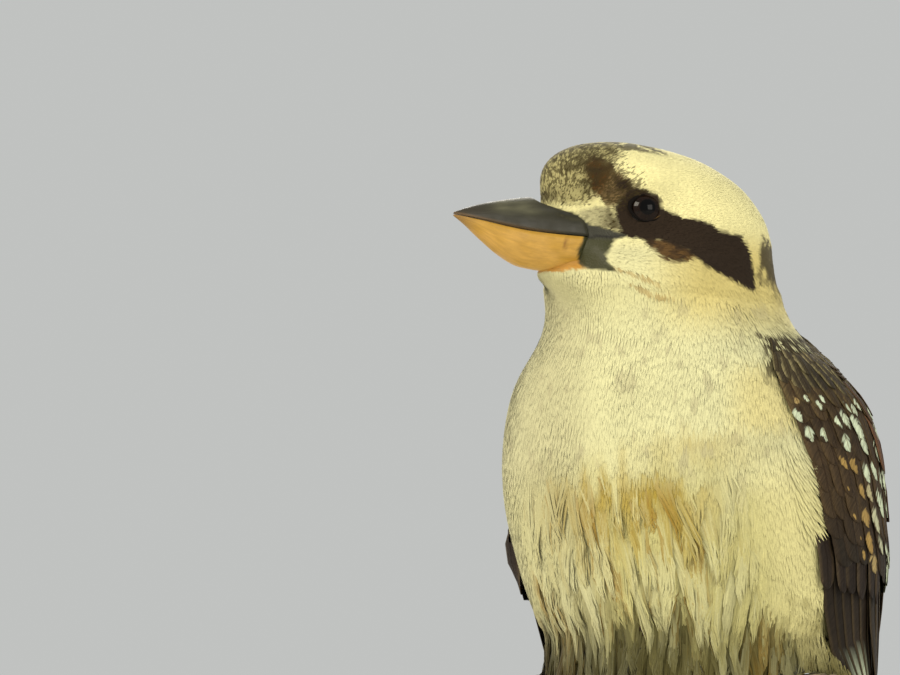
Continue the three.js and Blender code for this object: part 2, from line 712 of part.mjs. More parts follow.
for (const [side, name] of [[1, "left"], [-1, "right"]]) {
  place(bird, "eye_" + name, ball(eyePlace(side).centre, EYE.radius), EYE_BROWN);
  place(bird, "wing_" + name, wing(side), DARK);
  place(bird, "leg_" + name, leg(side), SCALE_SKIN);
}
place(bird, "tail", tail(), RUFOUS);

// Branch and stand
const BARK_WAVES = [
  { count: 3, share: 0.6, drift: 1 / 19 },
  { count: 5, share: 0.4, drift: -1 / 11 },
];
const BRANCH_END = 0.96; // the ends are this much narrower
function perch() {
  const rings = [];
  for (let i = 0; i <= PERCH.rings; i++) {
    const x = mix(-PERCH.length / 2, PERCH.length / 2, i / PERCH.rings);
    const end = i === 0 || i === PERCH.rings ? BRANCH_END : 1;
    rings.push(
      Array.from({ length: PERCH.sides }, (_, k) => {
        const a = (2 * Math.PI * k) / PERCH.sides;
        const bark = BARK_WAVES.reduce((sum, w) => sum + w.share * Math.sin(w.count * a + x * w.drift), 0);
        const r = (PERCH.radius + PERCH.bark * bark) * end;
        return vec(x, BIRD_Y + PERCH.y + r * Math.cos(a), r * Math.sin(a) + PERCH_TOP - PERCH.radius);
      }),
    );
  }
  return solid(loft(rings));
}
function rod(x, grow = 0) {
  const from = BASE.thick - ROD.socket - grow;
  const to = PERCH_TOP - 2 * PERCH.radius + ROD.socket + grow;
  const geometry = new THREE.CylinderGeometry(ROD.radius + grow, ROD.radius + grow, to - from, 16);
  geometry.rotateX(rad(90));
  geometry.translate(x, BIRD_Y + PERCH.y, (from + to) / 2);
  return solid(geometry);
}
function base() {
  const { length, width, thick, corner, bevel } = BASE;
  const [x, y] = [length / 2 - bevel, width / 2 - bevel];
  const outline = new THREE.Shape();
  outline.moveTo(-x + corner, -y);
  outline.lineTo(x - corner, -y);
  outline.absarc(x - corner, -y + corner, corner, -Math.PI / 2, 0);
  outline.absarc(x - corner, y - corner, corner, 0, Math.PI / 2);
  outline.absarc(-x + corner, y - corner, corner, Math.PI / 2, Math.PI);
  outline.absarc(-x + corner, -y + corner, corner, Math.PI, 1.5 * Math.PI);
  const geometry = new THREE.ExtrudeGeometry(outline, {
    depth: thick - 2 * bevel,
    bevelThickness: bevel,
    bevelSize: bevel,
    bevelSegments: 1,
    curveSegments: 3,
  });
  geometry.translate(0, 0, bevel);
  return solid(geometry);
}
const rodsX = [-ROD.spread, ROD.spread];
let branch = perch();
let plate = base();
for (const x of rodsX) {
  branch = branch.subtract(rod(x, GAP));
  plate = plate.subtract(rod(x, GAP));
}
place(kookaburra, "perch", branch, BARK);
place(kookaburra, "stand_base", plate, STAND_WOOD);
place(kookaburra, "stand_rod_left", rod(rodsX[1]), STEEL);
place(kookaburra, "stand_rod_right", rod(rodsX[0]), STEEL);

export default kookaburra;
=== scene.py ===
import math

import bpy
import numpy as np
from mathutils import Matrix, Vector


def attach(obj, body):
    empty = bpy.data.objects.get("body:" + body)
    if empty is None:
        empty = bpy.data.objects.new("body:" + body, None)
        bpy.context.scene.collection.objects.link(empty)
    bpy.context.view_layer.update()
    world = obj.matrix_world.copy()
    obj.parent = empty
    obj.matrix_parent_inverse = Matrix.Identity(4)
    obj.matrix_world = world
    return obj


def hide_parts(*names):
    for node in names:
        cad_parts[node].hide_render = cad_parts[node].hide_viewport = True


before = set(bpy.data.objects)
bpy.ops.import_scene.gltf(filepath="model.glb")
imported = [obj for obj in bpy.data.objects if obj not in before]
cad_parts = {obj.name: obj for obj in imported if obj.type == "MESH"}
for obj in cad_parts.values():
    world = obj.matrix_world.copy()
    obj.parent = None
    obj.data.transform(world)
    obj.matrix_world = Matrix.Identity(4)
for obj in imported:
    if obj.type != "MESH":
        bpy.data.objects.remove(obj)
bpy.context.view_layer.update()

# Laughing kookaburra, life size, on a cut branch over a display stand.
# Lengths are millimetres in the bird's own frame: its zero is the top of the branch, it faces -Y and
# its left is +X. toPart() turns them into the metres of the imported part.
birdPlace = np.array([0.0, -2.0, 172.0])
dice = np.random.default_rng(71)


def toPart(points):  # millimetres of the bird's frame to metres of the part's
    return (points + birdPlace) * 0.001


# Small tools for arrays
def ease(low, high, x):  # smooth step from 0 at low to 1 at high
    t = np.clip((x - low) / (high - low), 0, 1)
    return t * t * (3 - 2 * t)


def unit(v):  # vectors of length 1
    return v / np.maximum(np.linalg.norm(v, axis=-1, keepdims=True), 1e-9)


def dot(a, b):
    return np.sum(a * b, axis=-1)


def blend(a, b, t):  # from a at 0 to b at 1
    return a + (b - a) * t


def dyed(colour, other, share):  # blend of two colours, by a share at each point
    return blend(colour, other, np.asarray(share)[..., None])


def tableAt(x, rows):  # value at x, from rows of x and value
    return np.interp(x, *np.array(rows).T)


def fullTurn(count):  # angles once round
    return np.linspace(0, 2 * np.pi, count, endpoint=False)


def onRing(turn, u, w):  # direction at an angle from u towards w
    return np.cos(turn)[..., None] * u + np.sin(turn)[..., None] * w


goldenTurn = 0.6180339887  # share of a turn that spreads places evenly


# A smooth curve through rows of numbers, by row number; its slopes are limited so it never swings past a row
def rowCurve(rows):
    rows = np.array(rows, float)
    step = np.diff(rows, axis=0)
    before, after = step[:-1], step[1:]
    most = 3 * np.minimum(np.abs(before), np.abs(after))
    inner = np.sign(before) * np.minimum(np.abs(before + after) / 2, most)
    inner[before * after <= 0] = 0
    slope = np.vstack([step[:1], inner, step[-1:]])

    def at(s):
        s = np.clip(np.asarray(s, float), 0, len(rows) - 1 - 1e-9)
        i = s.astype(int)
        u = (s - i)[..., None]
        start = (2 * u**3 - 3 * u**2 + 1) * rows[i] + (3 * u**2 - 2 * u**3) * rows[i + 1]
        return start + (u**3 - 2 * u**2 + u) * slope[i] + (u**3 - u**2) * slope[i + 1]

    return at


# The same curve looked up by its first column, read off a fine table
def columnCurve(rows):
    table = rowCurve(rows)(np.linspace(0, len(rows) - 1, 3001))
    if table[0, 0] > table[-1, 0]:
        table = table[::-1]
    return lambda x: np.stack([np.interp(x, table[:, 0], column) for column in table.T[1:]], axis=-1)


# Value noise from -1 to 1: a hashed number at each corner of a cell, blended smoothly between them
def noise(points, cell, seed=0):
    q = points / cell
    corner = np.floor(q).astype(np.int64)
    t = q - corner
    t = t * t * (3 - 2 * t)
    total = 0
    for k in range(8):
        offset = np.array([k & 1, k >> 1 & 1, k >> 2 & 1])
        key = (corner + offset) * np.array([73856093, 19349663, 83492791])
        mixed = key[..., 0] ^ key[..., 1] ^ key[..., 2] ^ (seed * 7919 + 101)
        mixed = (mixed ^ (mixed >> 13)) * 1274126177
        value = ((mixed ^ (mixed >> 16)) & 0xFFFF) / 65535
        total = total + value * np.prod(np.where(offset, t, 1 - t), axis=-1)
    return total * 2 - 1


# Distance from points of a plane to a closed outline, negative inside it
def outlineDistance(x, y, corners):
    corners = np.array(corners, float)
    nearest = np.full(np.shape(x), 1e9)
    inside = np.zeros(np.shape(x), bool)
    for (ax, ay), (bx, by) in zip(corners, np.roll(corners, -1, axis=0)):
        dx, dy = bx - ax, by - ay
        t = np.clip(((x - ax) * dx + (y - ay) * dy) / (dx * dx + dy * dy), 0, 1)
        nearest = np.minimum(nearest, np.hypot(x - ax - t * dx, y - ay - t * dy))
        crosses = ((ay > y) != (by > y)) & (x < (y - ay) * dx / (dy if dy else 1e-9) + ax)
        inside ^= crosses
    return np.where(inside, -nearest, nearest)


# Materials and meshes
def hexColour(code):  # sRGB hex to linear light
    channels = np.array([int(code[k : k + 2], 16) / 255 for k in (1, 3, 5)])
    return np.where(channels <= 0.04045, channels / 12.92, ((channels + 0.055) / 1.055) ** 2.4)


def coloursOf(shape):  # the hex values of a piece's dictionary, by their names
    return {key: hexColour(code) for key, code in shape.items() if isinstance(code, str)}


# Adds a node of a kind, or takes the shader that is there. An input may be a value, a node's output, or a
# node, which stands for its first output.
def addNode(material, kind, inputs=None, **settings):
    tree = material.node_tree
    node = tree.nodes[kind] if kind == "Principled BSDF" else tree.nodes.new("ShaderNode" + kind)
    for name, value in settings.items():
        setattr(node, name, value)
    for name, value in (inputs or {}).items():
        if isinstance(value, bpy.types.Node):
            value = value.outputs[0]
        if isinstance(value, bpy.types.NodeSocket):
            tree.links.new(value, node.inputs[name])
        else:
            node.inputs[name].default_value = value
    return node


def newMaterial(name):
    material = bpy.data.materials.new(name)
    material.use_nodes = True
    return material


# A finish in the mesh's own colours. A fine pattern on it shades them between two strengths, stands out as a
# bump of some strength and height, or both; it may be drawn out by a scale for each axis.
def paintedFinish(name, shader, pattern, grainInputs, shade=None, bump=None, stretch=None):
    finish = newMaterial(name)
    colour = addNode(finish, "Attribute", attribute_name="plumage")
    place = addNode(finish, "TexCoord").outputs["Object"]
    if stretch:
        place = addNode(finish, "Mapping", {"Vector": place, "Scale": stretch})
    grain = addNode(finish, pattern, {"Vector": place, **grainInputs})
    if shade:
        bright = addNode(finish, "MapRange", {
            "Value": grain, "From Min": 0.3, "From Max": 0.7, "To Min": shade[0], "To Max": shade[1]})
        colour = addNode(finish, "VectorMath", {0: colour, "Scale": bright}, operation="SCALE")
    if bump:
        relief = addNode(finish, "Bump", {"Height": grain, "Strength": bump[0], "Distance": bump[1]})
        shader = {"Normal": relief, **shader}
    addNode(finish, "Principled BSDF", {"Base Color": colour, **shader})
    return finish


# A mesh object from points in metres and a list of face arrays (three or four corners each)
def addMesh(name, points, faces, material, colours=None, maps=None, values=None, normals=None):
    mesh = bpy.data.meshes.new(name)
    corners = np.concatenate([f.ravel() for f in faces]).astype(np.int32)
    sizes = np.concatenate([np.full(len(f), f.shape[1]) for f in faces])
    starts = np.concatenate([[0], np.cumsum(sizes)[:-1]]).astype(np.int32)
    mesh.vertices.add(len(points))
    mesh.vertices.foreach_set("co", points.astype(np.float32).ravel())
    mesh.loops.add(len(corners))
    mesh.loops.foreach_set("vertex_index", corners)
    mesh.polygons.add(len(sizes))
    mesh.polygons.foreach_set("loop_start", starts)
    mesh.update(calc_edges=True)
    mesh.polygons.foreach_set("use_smooth", np.ones(len(sizes), bool))
    for label, coords in (maps or {}).items():
        layer = mesh.uv_layers.new(name=label)
        layer.uv.foreach_set("vector", coords[corners].astype(np.float32).ravel())
    for label, colour in (colours or {}).items():
        layer = mesh.attributes.new(label, "FLOAT_COLOR", "POINT")
        rgba = np.column_stack([np.clip(colour, 0, 1), np.ones(len(colour))])
        layer.data.foreach_set("color", rgba.astype(np.float32).ravel())
    for label, vectors in (values or {}).items():
        layer = mesh.attributes.new(label, "FLOAT_VECTOR", "POINT")
        layer.data.foreach_set("vector", vectors.astype(np.float32).ravel())
    mesh.validate()
    if normals is not None:
        mesh.normals_split_custom_set_from_vertices(normals)
    mesh.materials.append(material)
    piece = bpy.data.objects.new(name, mesh)
    bpy.context.collection.objects.link(piece)
    return piece


# Quads of a grid of rows by columns whose columns close into a ring
def ringFaces(rows, columns):
    r, c = np.meshgrid(np.arange(rows - 1), np.arange(columns), indexing="ij")
    a = r * columns + c
    b = r * columns + (c + 1) % columns
    return np.stack([a, b, b + columns, a + columns], axis=-1).reshape(-1, 4)


def fanFaces(ring, tip, outwards):  # triangles from a ring of indices to one point
    following = np.roll(ring, -1)
    first, second = (ring, following) if outwards else (following, ring)
    return np.stack([first, second, np.full(len(ring), tip)], axis=-1)


# Points and faces of a grid of rings [row, column], closed with a point at each end. Unless the end points
# are given, they are the middles of the first and the last ring.
def closedRings(grid, ends=None):
    rows, columns = grid.shape[:2]
    count = rows * columns
    faces = [ringFaces(rows, columns), fanFaces(np.arange(columns), count, False),
             fanFaces(np.arange(count - columns, count), count + 1, True)]
    ends = [grid[0].mean(axis=0), grid[-1].mean(axis=0)] if ends is None else ends
    return np.vstack([grid.reshape(-1, 3), ends]), faces


# The face arrays turned outwards, as the first of them stands to a place inside the shape
def turnedOut(points, faces, centre):
    a, b, c = (points[faces[0][:, k]] for k in range(3))
    inwards = dot(np.cross(b - a, c - a), (a + b + c) / 3 - centre).sum() < 0
    return [face[:, ::-1] for face in faces] if inwards else faces


# Camera, light and stage
viewShape = {
    "azimuth": 26, "elevation": -3,  # degrees, as the photograph looks
    "distance": 3.2, "lens": 320,
    "aimRight": -93.6, "aimUp": 132.6,  # middle of the frame from the bird's zero, millimetres
    "skyColour": "#DCDEDC", "skyStrength": 0.74,
    # soft boxes: place, size, power and colour; the large one stands high in front on the bird's right
    "softBoxes": [
        ((-1.3, -2.2, 1.9), 1.1, 58, "#FFF6E4"),
        ((2.2, -1.4, 1.0), 1.4, 26, "#FFF9EE"),
        ((-0.8, 1.9, 1.6), 1.4, 36, "#FFF9EE"),
    ],
    "lightAim": (0, 0, 0.27),
    "floorColour": "#DAD8D2", "floorMottle": "#E2E0DB", "floorRadius": 6.0,
}


# The camera stands at an azimuth and elevation from the aim, the lamps face the bird, and the floor is a disc
def setStage(shape):
    scene = bpy.context.scene
    a, e = math.radians(shape["azimuth"]), math.radians(shape["elevation"])
    back = Vector((math.sin(a) * math.cos(e), -math.cos(a) * math.cos(e), math.sin(e)))
    right = Vector((math.cos(a), math.sin(a), 0))
    target = Vector(toPart(np.array(shape["aimRight"] * right + shape["aimUp"] * back.cross(right))))
    lens = bpy.data.cameras.new("camera_photo")
    lens.lens, lens.sensor_width = shape["lens"], 36
    lens.clip_start, lens.clip_end = 0.1, 60
    camera = bpy.data.objects.new("camera_photo", lens)
    camera.location = target + back * shape["distance"]
    camera.rotation_euler = (-back).to_track_quat("-Z", "Y").to_euler()
    scene.collection.objects.link(camera)
    scene.camera = camera
    scene.view_settings.view_transform = "Standard"  # keeps the plumage colours as they are given

    sky = bpy.data.worlds.new("studio_sky")
    sky.use_nodes = True
    sky.node_tree.nodes["Background"].inputs["Color"].default_value = (*hexColour(shape["skyColour"]), 1)
    sky.node_tree.nodes["Background"].inputs["Strength"].default_value = shape["skyStrength"]
    scene.world = sky

    for number, (place, size, power, colour) in enumerate(shape["softBoxes"]):
        lamp = bpy.data.lights.new(f"soft_box_{number}", "AREA")
        lamp.size, lamp.energy, lamp.color = size, power, hexColour(colour)
        light = bpy.data.objects.new(f"soft_box_{number}", lamp)
        light.location = place
        aim = Vector(shape["lightAim"]) - Vector(place)
        light.rotation_euler = aim.to_track_quat("-Z", "Y").to_euler()
        scene.collection.objects.link(light)

    # painted studio floor: matt emulsion with faint roller mottling
    paint = newMaterial("studio floor, matt emulsion")
    place = addNode(paint, "TexCoord")
    mottle = addNode(paint, "TexNoise", {"Vector": place.outputs["Object"], "Scale": 14.0})
    plain, paler = ((*hexColour(shape[key]), 1) for key in ("floorColour", "floorMottle"))
    tint = addNode(paint, "MixRGB", {"Fac": mottle, "Color1": plain, "Color2": paler})
    addNode(paint, "Principled BSDF", {"Base Color": tint, "Roughness": 0.8})
    turn = fullTurn(96)
    rim = np.column_stack([np.cos(turn), np.sin(turn), np.zeros(96)]) * shape["floorRadius"]
    points = np.vstack([rim, [[0, 0, 0]]])
    points[:, 2] = -0.0005
    floor = addMesh("studio_floor", points, [fanFaces(np.arange(96), 96, True)], paint)


setStage(viewShape)
print("stage and camera set")


# The body's surface
bodyShape = {
    # height, x, y, turn, tilt, reach in front and behind, half width, narrowing in front
    "stations": [
        [5, 0, 23, 0, 0, 22, 18, 26, 0], [7, 0, 22, 0, 0, 46, 34, 54, 0],
        [14, 0, 20.5, 0, 0, 56, 42, 66, 0], [28, 0, 18, 0, 0, 61, 46, 72, 0],
        [48, 0, 13, 0, 0, 63, 51, 76, 0], [72, 0, 7, 0, 0, 65, 54, 78, 0],
        [98, 0, 3, -2, 0, 63, 52, 76, 0], [116, 0, -3, -5, 0, 58, 48, 68, 0],
        [130, 0, -9, -11, 1, 51, 47, 56, 0], [141, -1, -14, -18, 2, 49, 50, 48, 0.02],
        [150, -2, -20, -26, 3.5, 49, 51, 44, 0.08], [158, -2.4, -24, -32, 5, 50, 50, 40, 0.2],
        [166, -2.2, -25.5, -35, 6, 49, 48.5, 36, 0.38], [174, -2.4, -26, -36, 6.5, 49, 48, 34.5, 0.44],
        [182, -3.2, -27, -36, 6.5, 48, 47, 33.5, 0.42], [189, -4.2, -28.5, -36, 6.5, 46, 45, 31.5, 0.34],
        [195, -5.4, -30.2, -36, 6.5, 41.4, 42, 29, 0.26], [200, -6.4, -31.6, -36, 6.5, 34.8, 36.5, 24.5, 0.2],
        [204.3, -7.2, -33, -36, 6.5, 25.4, 29, 18.5, 0.1], [206.8, -7.8, -33.6, -36, 6.5, 15.4, 19, 12, 0],
        [208.2, -8, -34, -36, 6.5, 6, 6, 4, 0], [208.7, -8, -34, -36, 6.5, 0, 0, 0, 0],
    ],
    "crown": 21,  # number of the last station
    "faceFrom": (8.2, 10.2),  # stations over which the face's own forms come in
    # swellings and hollows of the face: forward, out and up in the head's axes, reach, height
    "face": [
        [5, 27, 22, 9, 1.6], [-8, 31, -9, 15, 2.4], [19, 17, 5, 9, -1.8], [7, 27, 13, 6, -1.0],
        [32.5, 0, -20, 9.5, 7.2], [27, 19, -12, 7, -4.2],
    ],
    "headOrigin": (-10, -37, 169.5), "headYaw": -36, "headPitch": 6.5,
    "eye": (5, 11.3),  # its place forward and up in the head's axes
}


# The stations' curve as a fine table, evened out below the head so the breast has no rings
def softCurve(rows):
    curve = rowCurve(rows)
    s = np.linspace(0, len(rows) - 1, 4201)
    table = curve(s)
    spread = np.linspace(-0.9, 0.9, 13)
    share = (1 - (spread / 1.1) ** 2) ** 2
    near = (curve(np.clip(s + shift * ease(0, 2, s), 0, s[-1])) for shift in spread)
    evened = sum(weight * place for weight, place in zip(share, near)) / share.sum()
    table = blend(table, evened, ease(10.5, 8.5, s)[:, None])
    return lambda at: np.stack([np.interp(at, s, column) for column in table.T], axis=-1)


bodyCurve = softCurve(bodyShape["stations"])


def axesOf(yaw, pitch):  # forward and left, for a turn and a tilt in degrees
    yaw, pitch = np.radians(yaw), np.radians(pitch)
    forward = np.stack([np.sin(yaw) * np.cos(pitch), -np.cos(yaw) * np.cos(pitch), np.sin(pitch)], axis=-1)
    return forward, np.stack([np.cos(yaw), np.sin(yaw), 0 * yaw], axis=-1)


headForward, headLeft = axesOf(bodyShape["headYaw"], bodyShape["headPitch"])
headUp = np.cross(headForward, headLeft)
headOrigin = np.array(bodyShape["headOrigin"], float)


def inHead(f, l, u):  # a place given forward, left and up in the head's axes
    f, l, u = np.broadcast_arrays(f, l, u)
    return headOrigin + f[..., None] * headForward + l[..., None] * headLeft + u[..., None] * headUp


def headCoords(p):  # and back: forward, left and up of a place
    d = p - headOrigin
    return d @ headForward, d @ headLeft, d @ headUp


# Point of the body: station s from belly to crown, angle phi from the front towards the left. Each station
# is an egg-shaped section, turned and tilted, and bell-shaped swellings are added on the face.
def bodyPoint(s, phi):
    z, x, y, yaw, pitch, front, back, half, egg = np.moveaxis(bodyCurve(s), -1, 0)
    forward, left = axesOf(yaw, pitch)
    c = np.cos(phi)
    along = np.where(c > 0, front, back) * c
    across = half * np.sin(phi) * (1 - egg * c)
    p = np.stack([x, y, z], axis=-1) + along[..., None] * forward + across[..., None] * left
    f, l, u = headCoords(p)
    out = unit(0.4 * c[..., None] * forward + np.sin(phi)[..., None] * left)
    rise = 0
    for bf, bl, bu, reach, height in bodyShape["face"]:
        apart = (f - bf) ** 2 + (np.abs(l) - bl) ** 2 + (u - bu) ** 2
        rise = rise + height * np.exp(-apart / reach**2)
    return p + (rise * ease(*bodyShape["faceFrom"], np.asarray(s)))[..., None] * out


# Outward normal: the way round crossed with the way up, each from two points a step apart
def bodyNormal(s, phi, step=0.02):
    around = bodyPoint(s, phi + step) - bodyPoint(s, phi - step)
    crown = bodyShape["crown"]
    low, high = np.clip(s - step, 0, crown - 0.02), np.clip(s + step, 0.02, crown - 0.01)
    return unit(np.cross(around, bodyPoint(high, phi) - bodyPoint(low, phi)))


# The folded wing's surface
foldShape = {
    # height, middle's y, half width, reach behind, angles of the front and back edges
    "rows": [
        [-68, 64, 34, 21, 140, 158], [-54, 54, 43, 30, 127, 159], [-38, 43, 54, 39, 112, 160],
        [-22, 34, 62, 45, 96, 161], [-6, 27, 67, 50, 79, 162], [10, 22, 70, 53, 65, 163],
        [28, 18, 74, 54.5, 61, 164], [48, 13, 77, 57, 59, 165], [72, 7, 77, 58, 57, 165],
        [98, 3, 73.5, 54, 54.5, 162], [116, -3, 64, 49, 58, 154], [130, -9, 53, 46, 70, 128],
    ],
    "rightEdge": 17,  # the breast covers this much more of the right wing, degrees
    "frontReach": 62, "top": 126,
}
foldCurve = columnCurve(foldShape["rows"])


# At a height: middle, half width, reach behind, and the angles of the front and back edges
def foldEdges(side, z):
    y, half, back, front, rear = np.moveaxis(foldCurve(z), -1, 0)
    covered = np.where(np.asarray(side) < 0, foldShape["rightEdge"] * ease(0, 50, z), 0)
    return y, half, back, front + covered, rear


# Point of the fold: v runs across it from its front edge to its back edge, lift stands out of it.
# Each height is an upright ellipse about the body, with its own half width and depth.
def foldPoint(side, z, v, lift=0.0):
    z, v, lift = np.broadcast_arrays(np.asarray(z, float), v, lift)
    y, half, back, front, rear = foldEdges(side, z)
    angle = np.radians(front + (rear - front) * v)
    reach = np.where(np.cos(angle) > 0, foldShape["frontReach"], back)
    p = np.stack([side * half * np.sin(angle), y - reach * np.cos(angle), z], axis=-1)
    out = unit(np.stack([p[..., 0] / half**2, (p[..., 1] - y) / back**2, 0 * z], axis=-1))
    return p + lift[..., None] * out


# How far inside the fold's edges a place of the body lies, millimetres, negative outside
def insideFold(p):
    side = np.where(p[..., 0] < 0, -1, 1)
    y, half, back, front, rear = foldEdges(side, p[..., 2])
    reach = np.where(p[..., 1] < y, foldShape["frontReach"], back)
    angle = np.degrees(np.arctan2(np.abs(p[..., 0]) / half, (y - p[..., 1]) / reach))
    perDegree = half * np.pi / 180
    across = np.minimum(angle - front, rear - angle) * perDegree
    return np.minimum(across, foldShape["top"] - p[..., 2])


# Plumage colours
plumage = {
    "crown": "#F4EBAB", "cheek": "#DDD8A4", "throat": "#DAD49C", "chest": "#DBD8A6", "belly": "#CBC484",
    "warm": "#DCC97C", "wash": "#AA9030", "stripe": "#2C2116", "rust": "#4F2E08",
    "fleck": "#3C3218", "grey": "#968C5A", "scallopAndShade": "#A89F7C", "shade": "#7A7038", "mantle": "#43362A",
    "shoulder": "#4A402A", "fold": "#A07E42",
    "stripeOutline": [
        (12.6, 0), (14.4, 4), (15.4, 9), (15.2, 14), (12, 18.4), (6, 19), (1, 16.4), (-1, 12.2), (-4, 10.2),
        (-9, 9), (-19, 8.2), (-23.3, 5.2), (-33.3, 5), (-38.4, -1), (-41, -8), (-42.4, -16.4), (-33, -14.4),
        (-23.8, -12), (-16, -9.4), (-10, -4.6), (-4, -2.6), (0.6, -1.6), (6.5, -1.4), (11, -1),
    ],
    "rustOutline": [
        (24.4, 29.4), (21, 27), (17, 25.6), (13.5, 23), (10, 19), (7, 16), (12, 12), (15.4, 10.6), (18.4, 12),
        (22, 14.8), (25, 18), (27, 24.4),
    ],
    "underOutline": [(5, 0), (-3, -1), (-10, -2.6), (-14, -6.4), (-9, -8), (-4, -9.8), (0, -8.6), (3, -5)],
    "foldLines": [[(18.8, -14), (10.6, -16.8), (1.1, -19.4)], [(10.1, -20.6), (2.5, -24.4), (-5, -24.6)]],
    "flecksOutline": [
        (44, 12), (37, 10), (30, 9.6), (25, 11), (21, 15), (19, 21), (18.4, 27), (14, 32), (12, 38), (32, 38),
        (44, 28),
    ],
    "bare": "#38381C", "mouthLine": "#15120C", "lores": "#B9B286",
    "billSlate": "#36352A", "billHorn": "#C39040",
    # where the bill and bare skin show, and the part of it where the horn itself shows
    "gapeOutline": [
        (60, 14), (41.7, 10.7), (35.5, 8.6), (32, 7.4), (27, 6.4), (23.9, 3.4), (17.3, 1.6), (11.4, 0),
        (12, -1.2), (14.6, -2.4), (16.6, -6.1), (18.6, -9.3), (18, -13.2), (14.6, -16), (18.5, -15.6),
        (23.7, -15), (27.7, -16), (30.1, -17), (60, -20),
    ],
    "hornOutline": [
        (60, 20), (41.7, 10.9), (35.5, 8.8), (32, 7.6), (27, 6.6), (24.6, 3.8), (22.5, -2), (23.4, -3.5),
        (24, -8.1), (23, -11.9), (22.6, -15), (27.7, -16.6), (30.1, -17.6), (60, -24),
    ],
    "loresOutline": [(27, 7.5), (22, 9.8), (17, 10), (14.6, 6), (13, 1.6), (18, 1.5), (25, 4)],
}
plumage.update(coloursOf(plumage))


def tinted(colour, key, amount):  # colour with an amount of one of the plumage colours over it
    return dyed(colour, plumage[key], np.clip(amount, 0, 1))


# Bare skin behind the corner of the bill, from 0 to 1
def gapeShare(p):
    f, l, u = headCoords(p)
    gap = outlineDistance(f, u, plumage["gapeOutline"]) + 0.35 * noise(p, 1.6, 31)
    return ease(0.4, -0.4, gap) * (u < 15)


# Dark skin behind the pale horn of the lower bill, from 0 to 1; its edge runs down and back
def blotchShare(f, u):
    edge = np.interp(u, [-15, -12, -8, -3], [23, 24.6, 26.4, 25.4])
    return ease(0.7, -0.5, f - edge + 0.5 * noise(np.stack([f, u, 0 * f], axis=-1), 1.5, 43))


def collarHeight(y, out):  # where the pale collar ends and the brown back starts, rising towards the nape
    return 137 + 5 * ease(0, 45, y - 0.2 * out) - 16 * ease(20, -12, y)


